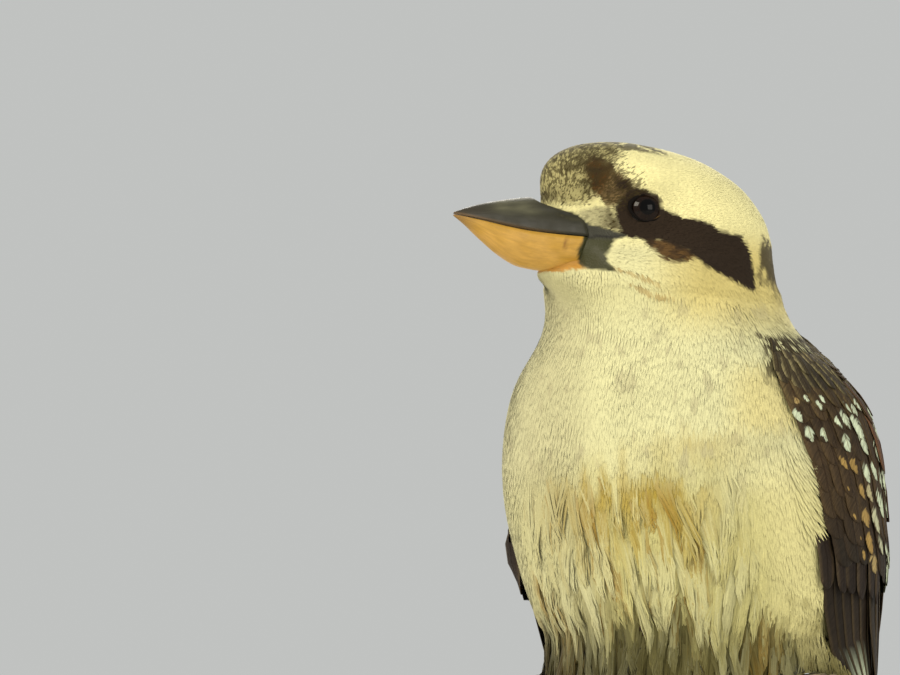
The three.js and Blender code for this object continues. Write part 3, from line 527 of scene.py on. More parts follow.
# Colour of the small feathers at places of the body: regions by height and by the head's axes, with
# edges broken up by noise
def plumageColour(p):
    f, l, u = headCoords(p)
    x, y, z = np.moveaxis(p, -1, 0)
    out = np.abs(l)
    fine, coarse, broad = noise(p, 1.6, 1), noise(p, 5, 2), noise(p, 16, 3)
    wobble = 0.7 * fine + 0.6 * coarse

    onBody = 1 - ease(128, 160, z)
    colour = np.broadcast_to(plumage["crown"], p.shape)
    colour = tinted(colour, "cheek", ease(2, -8, u) * ease(-46, -30, f))
    colour = tinted(colour, "throat", ease(-14, -26, u) * ease(-30, -10, f))
    colour = tinted(colour, "chest", onBody)
    warmNeck = 0.9 * ease(8, 34, x) * ease(124, 150, z) * ease(176, 160, z)
    colour = tinted(colour, "warm", warmNeck + 0.5 * ease(36, 52, x) * ease(88, 98, z) * ease(124, 112, z))
    colour = tinted(colour, "belly", ease(88, 56, z + 8 * broad) * blend(1, 0.4, ease(-4, -30, x)))
    streaky = noise(p * [1, 1, 0.2], 4.5, 13)
    band = np.exp(-(((z - 68 - 10 * streaky + 0.15 * np.abs(x + 1)) / 9) ** 2) - ((x + 1) / 36) ** 4)
    band = band + 0.45 * np.exp(-(((z - 86 - 4 * coarse) / 6) ** 2) - ((x - 30) / 24) ** 2)
    colour = tinted(colour, "wash", band * (y < 0) * (0.84 + 0.1 * coarse + 0.2 * streaky))
    colour = tinted(colour, "grey", 0.16 * onBody * ease(0.1, 0.8, noise(p, 24, 15)) * ease(60, 90, z))
    colour = tinted(colour, "scallopAndShade", 0.5 * ease(0.25, 0.8, coarse + 0.4 * fine) * ease(60, 84, z) * onBody)
    # painted light: the outer part of the bird's left flank is made paler with the crown colour
    colour = tinted(colour, "crown", 0.6 * ease(42, 60, x) * ease(90, 72, z) * ease(4, 20, z))
    # painted shade over the bird's right breast and neck, in the scallop colour
    shadedRight = ease(-4, -34, x) * ease(168, 148, z) * blend(0.6, 1, ease(60, 84, z))
    colour = tinted(colour, "scallopAndShade", 0.36 * shadedRight)
    # painted shade: darker towards the bottom of the body over the branch, reaching higher on the bird's
    # right
    colour = tinted(colour, "shade", 0.8 * ease(30 + 16 * ease(20, -10, x), 4, z + 12 * coarse))

    # head markings, the same on both sides
    onSide = ease(7, 12, out)
    flecks = ease(1.5, -3, outlineDistance(f, u, plumage["flecksOutline"]) + wobble)
    colour = tinted(colour, "grey", 0.8 * flecks)
    warped = p + 1.6 * np.stack([noise(p, 3.2, 61), noise(p, 3.2, 62), noise(p, 3.2, 63)], axis=-1)
    vermicular = np.abs(noise(warped, 2.0, 7))  # thin curling lines where the noise crosses zero
    calm = ease(1.2, 0.4, np.hypot((f - 32) / 6, (u - 15) / 4))  # a paler place low on the forehead
    colour = tinted(colour, "fleck", 0.8 * flecks * ease(0.42, 0.12, vermicular) * (1 - 0.7 * calm))
    dusk = ease(13, 4, np.hypot(f - 22, u - 24)) + ease(6, 2, np.hypot(f - 39, u - 12))
    colour = tinted(colour, "fleck", 0.75 * flecks * np.clip(dusk, 0, 1) * ease(-0.5, 0.3, fine + coarse))
    crest = ease(32.9, 34.6, u + 0.6 * coarse) * ease(-8, -3, f) * ease(16, 12, f)
    colour = tinted(colour, "stripe", 0.85 * crest * ease(-0.6, 0.1, fine))
    under = ease(1, -1.5, outlineDistance(f, u, plumage["underOutline"]) - 0.8 + 1.2 * wobble) * onSide
    colour = tinted(colour, "rust", 0.95 * under)
    colour = tinted(colour, "stripe", 0.8 * under * ease(-0.3, 0.4, noise(p, 2.4, 11)))
    for line in plumage["foldLines"]:
        crease = outlineDistance(f, u, line + line[-2:0:-1]) + 0.35 * fine
        colour = tinted(colour, "fold", 0.6 * ease(1.1, 0.2, np.abs(crease)) * onSide)
    rust = ease(1.8, -1.4, outlineDistance(f, u, plumage["rustOutline"]) + 1.8 * wobble) * onSide
    colour = tinted(colour, "rust", 0.9 * rust)
    darker = noise(p, 2.8, 9) + ease(16, 11, f) + 0.4 * ease(22, 27, u)
    colour = tinted(colour, "stripe", rust * ease(0.1, 0.8, darker))
    stripe = ease(0.9, -0.9, outlineDistance(f, u, plumage["stripeOutline"]) + 0.8 * wobble) * onSide
    colour = tinted(colour, "stripe", stripe)
    lores = ease(1, -1, outlineDistance(f, u, plumage["loresOutline"]) + 0.4 * wobble) * onSide
    colour = tinted(colour, "lores", 0.9 * lores)
    dusky = ease(22, 13.5, f + 1.5 * wobble) + 0.4 * ease(0.1, 0.5, noise(p * [1, 1, 2], 1.5, 17))
    colour = tinted(colour, "fleck", 0.85 * lores * dusky)
    bare = gapeShare(p)
    colour = tinted(colour, "bare", bare)
    colour = tinted(colour, "billSlate", bare * ease(-3.2, -2.2, u))
    colour = tinted(colour, "billHorn", bare * ease(-2.6, -3.2, u) * (1 - blotchShare(f, u)))
    mouth = np.interp(f, [11, 17, 23], [-0.9, -1.5, -2.4])  # the mouth's line runs on across the bare skin
    # painted shade: the mouth's line is a thin dark line across the bare skin
    colour = tinted(colour, "mouthLine", 0.85 * bare * ease(0.7, 0.25, np.abs(u - mouth)))
    nape = ease(-42, -45, f + 2 * coarse) * ease(8, 3, u + 3 * fine) * ease(-15, -9, u - 3 * fine)
    nape = nape * blend(0.8, 1, ease(14, 21, out))
    colour = tinted(colour, "stripe", 0.9 * nape * ease(-1.0, -0.2, noise(p * [1, 1, 0.4], 2.6, 5)))

    # the brown mantle starts behind the collar
    mantle = ease(3, -3, z - collarHeight(y, out) + 2.5 * coarse) * ease(-16, -4, y + 3 * coarse)
    colour = tinted(colour, "mantle", mantle * ease(40, 52, z))
    inward = insideFold(p) + 2.5 * coarse + 1.5 * fine - blend(0, 4, ease(10, -10, x))
    shoulder = ease(-7, -2.5, inward) * ease(108, 120, z + 3 * coarse) * ease(0, 0.5, fine + 0.6)
    return tinted(colour, "shoulder", shoulder)


# Skin under the feathers
skinShape = {
    "rows": 190, "columns": 200,
    "depth": [[0, 2.4], [4, 0.8], [7, 0.65], [10.5, 0.6], [21, 0.6]],  # below the tips, by station
    "wingBed": 4.6, "underHorn": 1.8,  # how much further in it lies there
}


# How far the skin lies under the tips: by station, and more under the horn of the bill and the wings
def skinDepth(s, p):
    depth = tableAt(s, skinShape["depth"])
    f, l, u = headCoords(p)
    horn = ease(-0.6, -2.6, outlineDistance(f, u, plumage["hornOutline"])) * (s > 9) * (u < 15)
    depth = depth + skinShape["underHorn"] * horn
    return depth + skinShape["wingBed"] * ease(-3, 3, insideFold(p)) * (s < 9)


# Skin: the body's surface moved inwards by its coat's depth, closed with a point at the belly and crown
def makeSkin(shape):
    levels = np.linspace(0, bodyShape["crown"] - 0.06, shape["rows"])
    s, phi = np.meshgrid(levels, fullTurn(shape["columns"]), indexing="ij")
    p = bodyPoint(s, phi)
    points, faces = closedRings(p - skinDepth(s, p)[..., None] * bodyNormal(s, phi))
    bare = gapeShare(points)
    # painted shade: the skin is a little darker than the feathers' colour, except where it is bare
    colour = plumageColour(points) * blend(0.94, 1, bare)[:, None]
    unwrap = np.column_stack([phi.ravel() / (2 * np.pi), s.ravel() / bodyShape["crown"]])
    unwrap = np.vstack([unwrap, [[0.5, 0.0], [0.5, 1.0]]])
    down = newMaterial("down over skin, matt")  # short soft down: no gloss, only a fine grain
    tint = addNode(down, "Attribute", attribute_name="plumage")
    place = addNode(down, "TexCoord")
    grain = addNode(down, "TexNoise", {"Vector": place.outputs["Object"], "Scale": 1400.0})
    bump = addNode(down, "Bump", {"Height": grain, "Distance": 0.0002})
    smoothness = addNode(down, "Attribute", attribute_name="bare")
    rough = addNode(down, "MapRange", {"Value": smoothness.outputs["Fac"], "To Min": 0.95, "To Max": 0.5})
    addNode(down, "Principled BSDF", {
        "Base Color": tint, "Roughness": rough, "Specular IOR Level": 0.3, "Normal": bump})
    skin = addMesh("skin", toPart(points), faces, down, {"plumage": colour}, {"OFBake": unwrap},
                   {"bare": np.repeat(bare[:, None], 3, axis=1)})
    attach(skin, "root")
    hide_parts("head", "neck", "torso")


makeSkin(skinShape)
print("skin made")


# Coat of small feathers
# Barbs of body feathers: soft keratin, pale and matt with a faint sheen where light grazes them. Barbs lie
# about 0.3 mm apart; drawn at 0.8 mm so they show.
softBarbs = paintedFinish("body feathers, soft barbs", {
    "Roughness": 0.8, "Specular IOR Level": 0.12, "Sheen Weight": 0.12, "Sheen Roughness": 0.5},
    "TexNoise", {"Scale": 1200.0}, shade=(0.94, 1.05))


# Even spread of places over the body: a golden-ratio lattice sent through the running total of the area,
# weighted by how dense the feathers stand
def spreadRoots(count, lowest, highest, density):
    rows, columns = 420, 480
    sEdge = np.linspace(lowest, highest, rows + 1)
    phiEdge = np.linspace(0, 2 * np.pi, columns + 1)
    s, phi = np.meshgrid((sEdge[1:] + sEdge[:-1]) / 2, (phiEdge[1:] + phiEdge[:-1]) / 2, indexing="ij")
    corner = bodyPoint(*np.meshgrid(sEdge, phiEdge, indexing="ij"))
    upwards, around = corner[1:, :-1] - corner[:-1, :-1], corner[:-1, 1:] - corner[:-1, :-1]
    area = np.linalg.norm(np.cross(upwards, around), axis=-1)
    weight = area * density(s, phi, bodyPoint(s, phi))
    rowTotal = np.cumsum(weight.sum(axis=1))
    number = np.arange(count)
    wanted = (number + 0.5) / count * rowTotal[-1]
    row = np.minimum(np.searchsorted(rowTotal, wanted), rows - 1)
    below = np.where(row > 0, rowTotal[row - 1], 0)
    rowPart = (wanted - below) / np.maximum(rowTotal[row] - below, 1e-9)
    inRow = np.cumsum(weight, axis=1)
    inRow = inRow / np.maximum(inRow[:, -1:], 1e-9)
    turn = (number * goldenTurn) % 1
    withinRow = 0.999999  # the search stays in its own row
    flat = np.searchsorted((inRow + np.arange(rows)[:, None]).ravel(), row + turn * withinRow)
    column = np.clip(flat - row * columns, 0, columns - 1)
    before = np.where(column > 0, inRow[row, column - 1], 0)
    columnPart = (turn - before) / np.maximum(inRow[row, column] - before, 1e-9)
    sRoot = sEdge[row] + (sEdge[1] - sEdge[0]) * np.clip(rowPart, 0, 1)
    phiRoot = phiEdge[column] + (phiEdge[1] - phiEdge[0]) * np.clip(columnPart, 0, 1)
    return sRoot, phiRoot


# How much station and angle change for one millimetre along a direction of the surface
def surfaceSteps(s, phi, direction):
    perS = (bodyPoint(s + 0.01, phi) - bodyPoint(s - 0.01, phi)) / 0.02
    perPhi = (bodyPoint(s, phi + 0.01) - bodyPoint(s, phi - 0.01)) / 0.02
    a11, a12, a22 = dot(perS, perS), dot(perS, perPhi), dot(perPhi, perPhi)
    b1, b2 = dot(perS, direction), dot(perPhi, direction)
    det = np.maximum(a11 * a22 - a12 * a12, 1e-6)
    return (b1 * a22 - b2 * a12) / det, (b2 * a11 - b1 * a12) / det


# How fast the surface turns away along a direction, per millimetre, from how its normal tilts over one
def surfaceBend(s, phi, normal, direction):
    perS, perPhi = surfaceSteps(s, phi, direction)
    return np.clip(dot(bodyNormal(s + perS, phi + perPhi) - normal, direction), -0.05, 0.12)


# The way feathers lie: back from the bill on the head, turning down the neck and body
def featherFlow(p, normal):
    x = p[..., 0]
    away = unit(p - inHead(34.0, 0.0, 1.0))
    down = np.stack([0.12 * np.sign(x) * ease(20, 60, np.abs(x)), 0 * x + 0.12, 0 * x - 1], axis=-1)
    onHead = ease(146, 166, p[..., 2])[..., None]
    flow = blend(unit(down), away, onHead)
    return unit(flow - dot(flow, normal)[..., None] * normal)


mostTriangles = 190000  # in one piece of tufts
patchSize = 0.003  # of a tuft on the unwrap


# Closed tufts with a three-cornered section: points of each along its path, its side and up directions,
# half width and ridge height. They end in a point. Their shading leans towards the coat's own surface, so
# the coat reads as one soft form with fine streaks.
def tuftMesh(name, path, side, up, half, height, colours, unwrap, material, softness=0.9):
    count, rings = half.shape
    lean = np.stack([side, up * 0.6, -side], axis=2).reshape(count, -1, 3)
    lean = np.concatenate([lean, up[:, -1:]], axis=1)
    upright = np.concatenate([np.repeat(up, 3, axis=1), up[:, -1:]], axis=1)
    facing = unit(upright * softness + lean * (1 - softness))
    ring = np.stack([path[:, :rings] + side * half[..., None], path[:, :rings] + up * height[..., None],
                     path[:, :rings] - side * half[..., None]], axis=2)
    points = np.concatenate([ring.reshape(count, -1, 3), path[:, rings:]], axis=1)
    each = 3 * rings + 1
    pairs = ((0, 1), (1, 2), (2, 0))
    quads = [[3 * k + a, 3 * k + 3 + a, 3 * k + 3 + b, 3 * k + b] for k in range(rings - 1) for a, b in pairs]
    last = 3 * (rings - 1)
    ends = [[0, 1, 2]] + [[last + a, each - 1, last + b] for a, b in pairs]
    colour = np.concatenate([np.repeat(colours[:, :rings], 3, axis=1), colours[:, rings:]], axis=1)
    # each tuft's patch on the unwrap lies at its root's place
    along = np.append(np.repeat(np.arange(rings), 3), rings) / rings - 0.5
    across = np.append(np.tile([-1, 0, 1], rings), 0) / 2
    patch = unwrap[:, None] + patchSize * np.stack([across, along], axis=-1)
    perPiece = mostTriangles // (2 * len(quads) + len(ends))
    for number, start in enumerate(range(0, count, perPiece)):
        part = slice(start, min(start + perPiece, count))
        shift = (np.arange(part.stop - part.start) * each)[:, None, None]
        faces = [(np.array(quads) + shift).reshape(-1, 4), (np.array(ends) + shift).reshape(-1, 3)]
        label = f"{name}_{number + 1}" if count > perPiece else name
        piece = addMesh(label, toPart(points[part].reshape(-1, 3)), faces, material,
                        {"plumage": colour[part].reshape(-1, 3)}, {"OFBake": patch[part].reshape(-1, 2)},
                        normals=facing[part].reshape(-1, 3))
        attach(piece, "root")


coatShape = {
    "count": 72000, "from": 0.4, "to": 20.9,
    "length": [[2, 11], [6, 10.5], [8, 8], [10, 5.4], [12, 4.2], [16, 3.4], [21, 3.0]],  # by station
    "width": [[2, 1.55], [6, 1.45], [8, 1.3], [10, 1.02], [12, 0.78], [21, 0.64]],
    "billShort": 0.5,  # share of the length right at the bill
    "lean": [[4, 0.035], [9, 0.04], [11, 0.1]], "ridge": [[4, 0.025], [9, 0.03], [11, 0.1]],  # by station too
}


# Coat: tufts whose path follows the curve of the body under them, rising from the skin to the tips
def makeCoat(shape):
    def density(s, phi, p):
        length, width = tableAt(s, shape["length"]), tableAt(s, shape["width"])
        x, y, z = np.moveaxis(p, -1, 0)
        underBack = (y > 6) & (z < 130) & (z > 24)
        return (insideFold(p) < 5) * (gapeShare(p) < 0.6) * (1 - 0.75 * underBack) / (length * width)

    s, phi = spreadRoots(shape["count"], shape["from"], shape["to"], density)
    normal = bodyNormal(s, phi)
    surface = bodyPoint(s, phi)
    depth = skinDepth(s, surface)
    f, l, u = headCoords(surface)
    flow = featherFlow(surface, normal)
    bend = surfaceBend(s, phi, normal, flow)
    nearBill = ease(46, 24, np.linalg.norm(surface - inHead(32.0, 0.0, 1.0), axis=-1))
    eyeForward, eyeUp = bodyShape["eye"]
    eyeGap = np.hypot(f - eyeForward, u - eyeUp)
    nearEye = ease(13, 7, eyeGap) * (np.abs(l) > 12)
    length = tableAt(s, shape["length"]) * dice.uniform(0.75, 1.25, s.size)
    length = length * blend(1, shape["billShort"], np.maximum(nearBill, nearEye))
    width = tableAt(s, shape["width"]) * dice.uniform(0.8, 1.2, s.size)
    width = width * blend(1, 0.75, nearEye)

    side = unit(np.cross(flow, normal))
    lean = dice.normal(0, 1, s.size) * tableAt(s, shape["lean"]) * length
    onHead = ease(9.5, 11, s)
    folds = 0.8 * noise(surface * [1, 1, 0.6], 15, 22) * (1 - onHead)  # soft folds over the breast
    rise = depth + folds + dice.uniform(-0.02, 0.03, s.size) * blend(1, 4, onHead)
    # the left flank's tufts stand out and back a little, over the wing's front edge
    x, y, z = surface.T
    overWing = ease(-8, -3, insideFold(surface)) * ease(54, 64, z) * ease(100, 86, z) * (x > 0)
    lean = lean - 0.28 * overWing * length
    rise = rise + 2.0 * overWing
    stations = np.array([0, 0.4, 0.75, 1.0])
    run = length[:, None] * stations
    lift = -depth[:, None] - 0.15 + (rise[:, None] + 0.15) * stations ** 0.6
    path = (surface[:, None] + flow[:, None] * run[..., None]
            + normal[:, None] * (lift - bend[:, None] * run**2 / 2)[..., None])
    up = unit(normal[:, None] + flow[:, None] * (bend[:, None] * run)[..., None])
    # on the body, where tufts are long, each point is set on the surface itself
    perS, perPhi = surfaceSteps(s, phi, flow)
    sThere = np.maximum(s[:, None] + perS[:, None] * run, 0.2)
    phiThere = phi[:, None] + perPhi[:, None] * run
    there = bodyNormal(sThere, phiThere)
    below = ease(10.5, 9.5, s)[:, None, None]
    path = blend(path, bodyPoint(sThere, phiThere) + there * lift[..., None], below)
    path = path + side[:, None] * (lean[:, None] * stations**2)[..., None]
    up = unit(blend(up, there, below))[:, :3]
    half = width[:, None] / 2 * np.array([0.75, 1.0, 0.62])
    height = (width * tableAt(s, shape["ridge"]))[:, None] * np.array([0.8, 1.0, 0.7])

    middle = path[:, 2]
    tone = dice.normal(1, 0.016, s.size) * (1 + 0.05 * noise(middle, 9, 21))
    base = plumageColour(middle) * tone[:, None]
    # single dark tufts between the pale ones on the forehead and around its brown patch
    rough = ease(3, -3, outlineDistance(f, u, plumage["flecksOutline"])) * blend(0.3, 0.42, ease(14, 26, u))
    rough = rough + 0.5 * ease(3, -1, outlineDistance(f, u, plumage["rustOutline"]))
    base = dyed(base, plumage["fleck"], 0.7 * (dice.random(s.size) < rough) * (u > 8))
    # painted shade: each tuft a little darker towards its root
    colours = base[:, None] * np.array([0.97, 0.99, 1.0, 1.0])[:, None]
    unwrap = np.column_stack([phi / (2 * np.pi), s / bodyShape["crown"]])
    over = insideFold(middle)
    onShoulder = (over > 1) & (middle[:, 2] > 112)
    # the breast covers the upper front edge of the right wing, and leaves its lower part free
    mayCover = np.where(middle[:, 0] < 0, blend(0, 13, ease(54, 66, middle[:, 2])), 4.5 + 2 * overWing)
    inEye = (eyeGap < 5.6) & (np.abs(l) > 15)
    keep = (over < mayCover) & ~onShoulder & ~inEye & (gapeShare(middle) < 0.5) & (gapeShare(surface) < 0.5)
    sides = np.repeat(side[:, None], 3, axis=1)
    tuftMesh("coat", path[keep], sides[keep], up[keep], half[keep], height[keep], colours[keep], unwrap[keep],
             softBarbs)


makeCoat(coatShape)
print("coat made")


# Feathers with a vane
# Flight and covert feathers: stiff dark keratin. Barbs slant from the shaft and give a fine silky streak;
# spots and bars sit in each feather by its own millimetres
def vaneMaterial():
    vane = newMaterial("flight feather, stiff slanting barbs")
    tint = addNode(vane, "Attribute", attribute_name="plumage")
    size = addNode(vane, "Attribute", attribute_name="size")  # width, length, a random number
    spot = addNode(vane, "Attribute", attribute_name="spot")  # across, along, radius
    spotTint = addNode(vane, "Attribute", attribute_name="spotColour")
    bar = addNode(vane, "Attribute", attribute_name="bar")  # spacing, strength, phase
    place = addNode(vane, "UVMap", uv_map="vane")
    centred = addNode(vane, "VectorMath", {0: place, 1: (0.5, 0, 0)}, operation="SUBTRACT")
    inMm = addNode(vane, "VectorMath", {0: centred, 1: size.outputs["Vector"]}, operation="MULTIPLY")
    mm = addNode(vane, "SeparateXYZ", {"Vector": inMm})
    sizes = addNode(vane, "SeparateXYZ", {"Vector": size.outputs["Vector"]})
    away = addNode(vane, "Math", {0: mm.outputs["X"]}, operation="ABSOLUTE")
    slant = addNode(vane, "Math", {0: away, 1: -0.9, 2: mm.outputs["Y"]}, operation="MULTIPLY_ADD")
    thinned = addNode(vane, "Math", {0: mm.outputs["X"], 1: 0.12}, operation="MULTIPLY")
    own = addNode(vane, "Math", {0: sizes.outputs["Z"], 1: 90.0}, operation="MULTIPLY")
    along = addNode(vane, "CombineXYZ", {"X": slant, "Y": thinned, "Z": own})
    # barbs stand about 0.3 mm apart; drawn at about 0.7 mm so they show
    barbs = addNode(vane, "TexNoise", {"Vector": along, "Scale": 1.4, "Detail": 3.0})
    cloud = addNode(vane, "TexNoise", {"Vector": along, "Scale": 0.35})

    # spot: an oval about its centre, with a soft uneven rim
    offset = addNode(vane, "VectorMath", {0: inMm, 1: spot.outputs["Vector"]}, operation="SUBTRACT")
    flattened = addNode(vane, "VectorMath", {0: offset, 1: (1.0, 0.72, 0.0)}, operation="MULTIPLY")
    reach = addNode(vane, "VectorMath", {0: flattened}, operation="LENGTH")
    spots = addNode(vane, "SeparateXYZ", {"Vector": spot.outputs["Vector"]})
    radius = addNode(vane, "Math", {0: spots.outputs["Z"], 1: 0.01}, operation="MAXIMUM")
    share = addNode(vane, "Math", {0: reach.outputs["Value"], 1: radius}, operation="DIVIDE")
    blotches = addNode(vane, "TexNoise", {"Vector": along, "Scale": 0.6})
    ragged = addNode(vane, "Math", {0: blotches, 1: 2.4, 2: share}, operation="MULTIPLY_ADD")
    uneven = addNode(vane, "Math", {0: barbs, 1: 0.5, 2: ragged}, operation="MULTIPLY_ADD")
    spotMask = addNode(vane, "MapRange", {
        "Value": uneven, "From Min": 2.55, "From Max": 2.2, "To Min": 0.0, "To Max": 1.0})

    # bars across the feather, by its length
    spacing = addNode(vane, "SeparateXYZ", {"Vector": bar.outputs["Vector"]})
    warped = addNode(vane, "Math", {0: cloud, 1: 5.0, 2: mm.outputs["Y"]}, operation="MULTIPLY_ADD")
    turns = addNode(vane, "Math", {0: warped, 1: spacing.outputs["X"]}, operation="DIVIDE")
    phase = addNode(vane, "Math", {0: turns, 1: 6.2832, 2: spacing.outputs["Z"]}, operation="MULTIPLY_ADD")
    wave = addNode(vane, "Math", {0: phase}, operation="SINE")
    banded = addNode(vane, "MapRange", {
        "Value": wave, "From Min": -0.1, "From Max": 0.25, "To Min": 0.0, "To Max": 1.0})
    barMask = addNode(vane, "Math", {0: banded, 1: spacing.outputs["Y"]}, operation="MULTIPLY")
    barred = addNode(vane, "MixRGB", {"Fac": barMask, "Color1": tint, "Color2": (*hexColour("#221A15"), 1)})
    spotted = addNode(vane, "MixRGB", {"Fac": spotMask, "Color1": barred, "Color2": spotTint})
    shaft = addNode(vane, "MapRange", {
        "Value": away, "From Min": 0.2, "From Max": 0.5, "To Min": 1.0, "To Max": 0.0})
    shafted = addNode(vane, "MixRGB", {
        "Fac": shaft, "Color1": spotted, "Color2": (0.7, 0.62, 0.55, 1)}, blend_type="MULTIPLY")
    streak = addNode(vane, "MapRange", {
        "Value": barbs, "From Min": 0.3, "From Max": 0.7, "To Min": 0.62, "To Max": 1.3})
    colour = addNode(vane, "VectorMath", {0: shafted, "Scale": streak}, operation="SCALE")
    relief = addNode(vane, "Math", {0: barbs, 1: shaft}, operation="ADD")
    bump = addNode(vane, "Bump", {"Height": relief, "Strength": 0.7, "Distance": 0.0004})
    addNode(vane, "Principled BSDF", {
        "Base Color": colour, "Roughness": 0.6, "Specular IOR Level": 0.16, "Normal": bump})
    return vane


stiffVane = vaneMaterial()
vaneOutlines = {  # share of the length, share of the half width
    "round": [[0, 0.5], [0.2, 0.8], [0.42, 0.95], [0.64, 1], [0.8, 0.96], [0.91, 0.8], [0.975, 0.52],
              [1, 0.2]],
    "long": [[0, 0.5], [0.1, 0.72], [0.22, 0.86], [0.36, 0.94], [0.5, 1], [0.62, 1], [0.72, 0.98],
             [0.8, 0.93], [0.87, 0.84], [0.925, 0.7], [0.965, 0.5], [0.99, 0.28], [1, 0.12]],
}


# Closed feather from a grid of points on its upper face: the lower face lies a thickness inside it and a
# rim joins them. Each group holds many feathers: points [feather, along, across], and what they carry.
def vaneMesh(name, groups):
    points, faces, colours, maps = [], [], [], []
    carried = {"size": [], "spot": [], "spotColour": [], "bar": []}
    first = 0
    for group in groups:
        top, out, colour = group["top"], group["out"], group["colour"]
        count, rows, columns, _ = top.shape
        facing = dot(np.cross(top[:, 0, 1] - top[:, 0, 0], top[:, 1, 0] - top[:, 0, 0]), out[:, 0, 0]).sum()
        across = np.linspace(0, 1, columns)
        if facing < 0:
            top, out, colour, across = top[:, :, ::-1], out[:, :, ::-1], colour[:, :, ::-1], across[::-1]
        thick = group["thick"] * (1 - 0.5 * np.abs(across * 2 - 1) ** 3)[:, None]
        each = 2 * rows * columns
        r, c = np.meshgrid(np.arange(rows - 1), np.arange(columns - 1), indexing="ij")
        a = (r * columns + c).ravel()
        upper = np.stack([a, a + 1, a + 1 + columns, a + columns], axis=-1)
        lower = upper[:, ::-1] + rows * columns
        rim = np.concatenate([
            np.arange(columns - 1), columns - 1 + columns * np.arange(rows - 1),
            rows * columns - 1 - np.arange(columns - 1), columns * np.arange(rows - 1, 0, -1)])
        turned = np.roll(rim, -1)
        wall = np.stack([turned, rim, rim + rows * columns, turned + rows * columns], axis=-1)
        template = np.vstack([upper, lower, wall])
        shift = (np.arange(count) * each)[:, None, None] + first
        faces.append((template + shift).reshape(-1, 4))
        points.append(np.concatenate([top, top - out * thick], axis=1).reshape(-1, 3))
        colours.append(np.concatenate([colour, colour], axis=1).reshape(-1, 3))
        grid = np.stack(np.meshgrid(across, group["stations"]), axis=-1).reshape(-1, 2)
        maps.append(np.tile(grid, (2 * count, 1)))
        for key in carried:
            carried[key].append(np.repeat(group[key], each, axis=0))
        first += count * each
    piece = addMesh(name, toPart(np.vstack(points)), [np.vstack(faces)], stiffVane,
                    {"plumage": np.vstack(colours)}, {"vane": np.vstack(maps)},
                    {key: np.vstack(parts) for key, parts in carried.items()})
    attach(piece, "root")
    return piece


# What every feather of a group carries besides its shape: colours from its row, size, spot and bars
def vaneGroup(top, out, stations, width, length, row, v=None):
    count, _, columns, _ = top.shape
    base, rim, tip = (hexColour(row.get(key, row["colour"])) for key in ("colour", "rim", "tipColour"))
    t = np.array(stations)[None, :, None, None]
    across = np.linspace(-1, 1, columns)[:, None]
    tone = dice.normal(1, 0.11, (count, 1, 1, 1))
    tipFrom = row.get("tipFrom", 0.9)
    colour = blend(base, rim, ease(0.72, 1, np.abs(across)) * row.get("rimShare", 0.6))
    colour = blend(colour, tip, ease(tipFrom, min(tipFrom + 0.06, 1), t)) * tone
    # painted shade: each feather darker towards its root, where other feathers lie over it
    colour = colour * blend(0.72, 1.0, ease(0, 0.5, t))
    spotAcross, spotFromTip, spotRadius = row.get("spot", (0, 0, 0))
    jitter = dice.uniform(-1, 1, (3, count))
    spotTint = np.tile(base, (count, 1))
    if "spotV" in row:  # dark in front, then buff, then pale towards the wing's back
        dark, buff, pale = row["spotV"]
        spotRadius = spotRadius * ease(dark, buff, v) * blend(0.8, 1.5, ease(0.08, 0.45, v))
        spotRadius = spotRadius * (dice.random(count) > 0.3)
        spotTint = dyed(hexColour(wingShape["buff"]), hexColour(wingShape["pale"]),
                        ease(buff, pale, v + 0.03 * jitter[2]))
    spot = np.column_stack([
        (spotAcross + 0.3 * jitter[2]) * width / 2, length - spotFromTip * (1 + 0.3 * jitter[0]),
        spotRadius * (1 + 0.35 * jitter[1])])
    size = np.column_stack([width, length, dice.random(count)])
    bar = np.column_stack([np.tile(row.get("bar", (20, 0)), (count, 1)), dice.uniform(0, 0.8, count)])
    return {
        "top": top, "out": out, "colour": np.broadcast_to(colour, top.shape), "stations": stations,
        "thick": row.get("thick", 0.36), "size": size, "spot": spot, "spotColour": spotTint, "bar": bar,
    }


